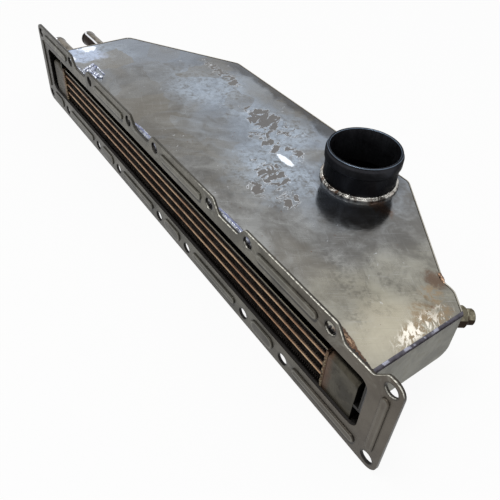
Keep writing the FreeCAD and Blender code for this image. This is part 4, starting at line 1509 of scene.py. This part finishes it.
@dataclass
class Hood:
    """The plenum's roof, pan and end plate, with the welds that join them."""

    bead: WeldBead
    scallops: tuple[Scallop, ...] = (
        Scallop(-213.0, 4.4 * MM, 0.4), Scallop(-37.0, 5.0 * MM, 0.04), Scallop(143.0, 4.6 * MM, 0.06),
    )
    scallop_reach: float = 29.0
    seam_ripples: Ripples = Ripples(61, 0.8 * MM, 0.8 * MM, 0.1, 1.0)
    front_ripples: Ripples = Ripples(7, 3.4 * MM, 2.1 * MM, 0.22)
    neck_ripples: Ripples = Ripples(3, 1.5 * MM, 1.6 * MM, 0.35, 0.8)
    ridges: tuple[Ridge, ...] = (
        Ridge(-228.0, 12.0, -237.0, 28.0, 2.4),
        Ridge(-222.0, 12.5, -230.0, 29.0, 2.2),
        Ridge(-216.0, 12.0, -224.0, 26.0, 1.6),
        Ridge(-223.0, 17.0, -198.0, 23.0, 3.0),
        Ridge(-218.0, 11.0, -200.0, 16.0, 2.6),
        Ridge(-234.0, 31.0, -204.0, 30.0, 1.4),
    )

    def build(self) -> None:
        """Dress the sheets and lay the welds."""
        Softened("roof_plate", ROOF_STEEL, "roof_steel", 0.3 * MM).build()
        Softened("plenum_pan", PAN_STEEL, "pan_steel").build()
        Softened("near_end_plate", END_STEEL, "end_steel").build()
        for node in ("bypass_baffle", "core_tray"):
            Softened(node, HIDDEN_STEEL, "hidden_steel").build()
        for node in ("far_end_cap", "near_end_cap"):
            Softened(node, CAP_STEEL, "hidden_steel").build()
        dress("rim_weld", RIM_WELD)
        dress("near_seam_weld", DARK_WELD)
        self.cap_seam()
        self.front_weld()
        self.scallop_welds()
        self.far_splash()
        self.neck_weld()

    def cap_seam(self) -> None:
        """The run that closes the near cap's floor against the tank's lower corner."""
        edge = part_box("near_end_cap")[0].x
        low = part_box("near_tank")[0]
        path = line_mesh([Vector((edge, low.y + MM, low.z)), Vector((edge, low.y + 11 * MM, low.z))])
        mesh = self.bead.run(path, HIDDEN_STEEL, self.seam_ripples)
        add_piece("near_cap_seam", mesh, HIDDEN_STEEL, "hidden_steel")

    def front_weld(self) -> None:
        """The run along the flange, over the roof's front edge."""
        low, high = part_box("flange_weld")
        front = low.y + 1.3 * MM
        level = high.z - 2.4 * MM
        path = line_mesh([Vector((low.x + 2 * MM, front, level)), Vector((high.x - 2 * MM, front, level))])
        mesh = self.bead.run(path, FLANGE_WELD, self.front_ripples)
        add_piece("front_weld_run", mesh, FLANGE_WELD, "flange_weld_metal")
        dress("flange_weld", FLANGE_WELD)

    def scallop_welds(self) -> None:
        """The pools of weld in the flange's scallops."""
        low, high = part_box("flange_weld")
        level = high.z - 2.4 * MM
        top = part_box("roof_plate")[1].z
        lowest = Vector((0, low.y + 0.2 * MM, top - 1.0 * MM))
        outer = (low.y + 1.6 * MM, level - 0.6 * MM)
        inner = (low.y + 3.0 * MM, level + 1.4 * MM)
        for index, scallop in enumerate(self.scallops):
            points = [
                Vector(((scallop.centre + self.scallop_reach * share) * MM, *place))
                for share, place in ((-1, outer), (-0.5, inner), (0.5, inner), (1, outer))
            ]
            spacing = scallop.lump * (0.3 + scallop.stray * 2)
            ripples = Ripples(31 + index, spacing, scallop.lump, scallop.stray, 0.9)
            mesh = self.bead.run(line_mesh(points), FLANGE_WELD, ripples)
            self.flatten(mesh, lowest)
            add_piece(f"scallop_weld_{index + 1}", mesh, FLANGE_WELD, "flange_weld_metal")

    @staticmethod
    def flatten(mesh: bpy.types.Mesh, lowest: Vector) -> None:
        """Move what would poke out behind a sheet back to it.

        Args:
            mesh: The mesh.
            lowest: The least Y and Z that a vertex may have.
        """
        for vertex in mesh.vertices:
            vertex.co.y = max(vertex.co.y, lowest.y)
            vertex.co.z = max(vertex.co.z, lowest.z)

    def far_splash(self) -> None:
        """The crumpled run-out of weld on the roof behind the far scallop."""
        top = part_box("roof_plate")[1].z
        parts = []
        for index, ridge in enumerate(self.ridges):
            ends = ((ridge.x, ridge.y), (ridge.end_x, ridge.end_y))
            path = line_mesh(Vector((x * MM, y * MM, top)) for x, y in ends)
            ripples = Ripples(51 + index, 0.9 * MM, ridge.radius * MM, 0.22, 1.0)
            parts.append(self.bead.run(path, SPLASH, ripples))
        mesh = joined("ridges", parts)
        self.flatten(mesh, Vector((0, 0, top - 0.5 * MM)))
        add_piece("far_weld_splash", mesh, SPLASH, "flange_weld_metal")

    def neck_weld(self) -> None:
        """The copper-coloured lump where the roof's slope turns at the neck."""
        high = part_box("rim_weld")[1]
        points = [
            Vector((x * MM, y * MM, high.z - drop * MM))
            for x, y, drop in ((297.5, 128.4, 0.9), (302.0, 126.2, 0.7), (306.5, 123.8, 0.9))
        ]
        mesh = self.bead.run(line_mesh(points), COPPER_WELD, self.neck_ripples)
        add_piece("neck_weld_lump", mesh, COPPER_WELD, "rim_weld_metal")


@dataclass(frozen=True)
class Ring:
    """One ring of the stub's weld: how far it lies within the CAD weld, its height and its ripples."""

    inset: float
    level: float
    ripples: Ripples


@dataclass
class HoseStub:
    """The black stub on the roof and its ring of weld."""

    bead: WeldBead
    steps: int = 96
    rings: tuple[Ring, ...] = (
        Ring(2.9 * MM, 1.2 * MM, Ripples(11, 1.7 * MM, 2.4 * MM, 0.16, 0.9)),
        Ring(3.3 * MM, 3.2 * MM, Ripples(12, 1.7 * MM, 1.7 * MM, 0.16, 0.9)),
    )

    def build(self) -> None:
        """Dress the tube and lay its weld in two uneven rings."""
        Softened("inlet_pipe", BLACK_PIPE, "black_pipe", 0.7 * MM).build()
        low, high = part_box("inlet_weld")
        centre = (low + high) / 2
        outer = (high.x - low.x) / 2
        parts = []
        for ring in self.rings:
            points = [
                Vector((centre.x + across, centre.y + along, low.z + ring.level))
                for across, along in circle(outer - ring.inset, self.steps)
            ]
            parts.append(self.bead.run(line_mesh(points, True), BRIGHT_WELD, ring.ripples))
        mesh = joined("inlet_weld_rings", parts)
        add_piece("inlet_weld_shown", mesh, BRIGHT_WELD, "bright_weld_metal", ("inlet_weld",))


@dataclass
class TubeCore:
    """Flat tubes, fins, headers and side plates."""

    bead: WeldBead
    wave: FinWave
    tubes: int = 3
    strips: int = 4

    def build(self) -> None:
        """Dress the tubes and plates, and fill the gaps with fine foil."""
        for index in range(1, self.tubes + 1):
            dress(f"flat_tube_{index}", COPPER_TUBE)
        for side in ("near", "far"):
            Softened(f"{side}_header_plate", TANK_METAL, "tank_metal", 0.3 * MM).build()
        for side in ("top", "bottom"):
            Softened(f"core_{side}_plate", CORE_PLATE, "core_plate_metal", 0.3 * MM).build()
        for index in range(1, self.strips + 1):
            node = f"fin_strip_{index}"
            mesh = self.wave.run(node, DARK_FOIL)
            add_piece(f"fin_foil_{index}", mesh, DARK_FOIL, "dark_fin", (node,))
        self.braze("near", 1, Ripples(41, 1.7 * MM, 1.5 * MM, 0.45, 0.9))
        self.braze("far", -1, Ripples(42, 1.7 * MM, 1.5 * MM, 0.45, 0.9))

    def braze(self, side: str, outward: int, ripples: Ripples) -> None:
        """Uneven braze where the tubes and fins meet one header.

        Args:
            side: Which header, near or far.
            outward: 1 where the tank lies towards +X of the header, -1 where it lies the other way.
            ripples: How its lumps lie.
        """
        low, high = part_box(f"{side}_header_plate")
        edge = low.x if outward > 0 else high.x
        levels = (low.z + 1.5 * MM, (low.z + high.z) / 2, high.z - 1.5 * MM)
        points = [
            Vector((edge + outward * out * MM, low.y + 0.9 * MM, level))
            for out, level in zip((1.2, 0.2, 1.2), levels)
        ]
        mesh = self.bead.run(line_mesh(points), BRAZE, ripples)
        add_piece(f"{side}_braze", mesh, BRAZE, "tank_metal")


@dataclass
class CoolantSide:
    """Tanks at both ends of the core and the two tubes that feed them."""

    bead: WeldBead
    steps: int = 40

    def build(self) -> None:
        """Dress the tanks and tubes and ring each tube with weld."""
        for side in ("near", "far"):
            Softened(f"{side}_tank", TANK_METAL, "tank_metal").build()
        dress("tank_baffle", TANK_METAL)
        for seed, place in ((21, "front"), (22, "rear")):
            Softened(f"water_tube_{place}", POLISHED_TUBE, "polished_tube").build()
            self.ring(place, Ripples(seed, 2.0 * MM, 1.2 * MM, 0.2, 0.6))

    def ring(self, place: str, ripples: Ripples) -> None:
        """The weld round one tube.

        Args:
            place: Which tube, front or rear.
            ripples: How the weld's ripples lie.
        """
        low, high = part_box(f"tube_weld_{place}")
        centre = (low + high) / 2
        points = [
            Vector((high.x - 0.7 * MM, centre.y + across, centre.z + up))
            for across, up in circle((high.y - low.y) / 2 - 1.3 * MM, self.steps)
        ]
        mesh = self.bead.run(line_mesh(points, True), BRIGHT_WELD, ripples)
        replaced = (f"tube_weld_{place}",)
        add_piece(f"tube_weld_{place}_shown", mesh, BRIGHT_WELD, "bright_weld_metal", replaced)


@dataclass
class SensorPort:
    """Hexagon boss, washer and plug on the near corner."""

    sharp: float = 20.0

    def build(self) -> None:
        """Dress the three pieces."""
        Softened("port_boss", FITTING, "fitting_metal", 0.4 * MM, self.sharp).build()
        Softened("port_washer", WASHER, "washer_metal", 0.2 * MM).build()
        Softened("port_plug", FITTING, "fitting_metal", 0.4 * MM, self.sharp).build()


@dataclass
class MountingFlange:
    """The long bolting flange with its holes, scallops and pressed beads."""

    edge: float = 0.45 * MM
    sharp: float = 30.0

    def build(self) -> None:
        """Dress the sheet."""
        Softened("mounting_flange", FLANGE_STEEL, "flange_steel", self.edge, self.sharp).build()


@dataclass(frozen=True)
class Lamp:
    """A soft square lamp: its place, the length of its side and its power in watts."""

    name: str
    place: Triple
    size: float
    power: float

    def hang(self, target: Vector) -> None:
        """Put the lamp into the scene.

        Args:
            target: Where it points.
        """
        data = bpy.data.lights.new(self.name, "AREA")
        data.size = self.size
        data.energy = self.power
        lamp = bpy.data.objects.new(self.name, data)
        lamp.location = self.place
        lamp.rotation_euler = (target - Vector(self.place)).to_track_quat("-Z", "Y").to_euler()
        bpy.context.scene.collection.objects.link(lamp)


@dataclass
class Studio:
    """Camera, lamps, floor and a white surround."""

    eye: Triple = (0.4735, -0.2235, 0.3948)
    right: Triple = (0.57205, 0.81866, 0.05059)
    up: Triple = (-0.55508, 0.34099, 0.75869)
    back: Triple = (0.60386, -0.46209, 0.64948)
    lens: float = 40.154
    sensor: float = 36.0
    rise: float = -0.0644
    fill: float = 0.55
    floor_size: float = 12.0
    paper: Colour = (0.86, 0.86, 0.86)
    glow: float = 0.93
    target: Triple = (0.0, 0.1, 0.0)
    lamps: tuple[Lamp, ...] = (
        Lamp("sheen", (-1.7, 1.4, 1.9), 2.6, 6.0), Lamp("overhead", (0.15, -0.25, 1.5), 0.5, 8.0),
    )

    def build(self) -> None:
        """Set up everything that isn't the object."""
        bpy.context.scene.view_settings.view_transform = "Standard"
        self.camera()
        self.world()
        self.floor()
        for lamp in self.lamps:
            lamp.hang(Vector(self.target))

    def camera(self) -> None:
        """The camera at the photograph's place."""
        data = bpy.data.cameras.new("camera")
        data.lens = self.lens
        data.sensor_width = self.sensor
        data.shift_y = self.rise
        data.clip_start = 0.01
        eye = bpy.data.objects.new("camera", data)
        turn = Matrix((self.right, self.up, self.back)).transposed()
        eye.matrix_world = Matrix.Translation(self.eye) @ turn.to_4x4()
        bpy.context.scene.collection.objects.link(eye)
        bpy.context.scene.camera = eye

    def world(self) -> None:
        """White to the camera and in reflections, and a plain fill for everything else."""
        world = bpy.data.worlds.new("surround")
        world.use_nodes = True
        tree = Tree(world.node_tree)
        reach = {"Value": tree.seen(), "To Min": self.fill, "To Max": 1.0}
        strength = tree.result("ShaderNodeMapRange", sockets=reach)
        background = tree.result("ShaderNodeBackground", sockets={"Color": WHITE, "Strength": strength})
        tree.node("ShaderNodeOutputWorld", sockets={0: background})
        bpy.context.scene.world = world

    def floor(self) -> None:
        """A pale floor just under the flange, which keeps the object's shadow."""
        level = CAD_BOX[0].z - 0.5 * MM
        half = self.floor_size / 2
        mesh = bpy.data.meshes.new("floor")
        corners = [(-half, -half), (half, -half), (half, half), (-half, half)]
        mesh.from_pydata([(x, y, level) for x, y in corners], [], [(0, 1, 2, 3)])
        material = bpy.data.materials.new("floor_paper")
        material.use_nodes = True
        tree = Tree(material.node_tree)
        paper = tree.result("ShaderNodeBsdfDiffuse", sockets={"Color": self.paper})
        glow = tree.result("ShaderNodeEmission", sockets={"Color": WHITE})
        mixed = tree.result("ShaderNodeMixShader", sockets={0: tree.seen() * self.glow, 1: paper, 2: glow})
        tree.node("ShaderNodeOutputMaterial", sockets={0: mixed})
        mesh.materials.append(material)
        floor = bpy.data.objects.new("floor", mesh)
        bpy.context.scene.collection.objects.link(floor)


def main() -> None:
    """Build every sub-assembly in order."""
    logging.basicConfig(level=logging.INFO, format="%(name)s: %(message)s")
    Studio().build()
    bead = WeldBead()
    for assembly in (
        MountingFlange(),
        Hood(bead),
        HoseStub(bead),
        TubeCore(bead, FinWave()),
        CoolantSide(bead),
        SensorPort(),
    ):
        assembly.build()


if __name__ == "__main__":
    main()
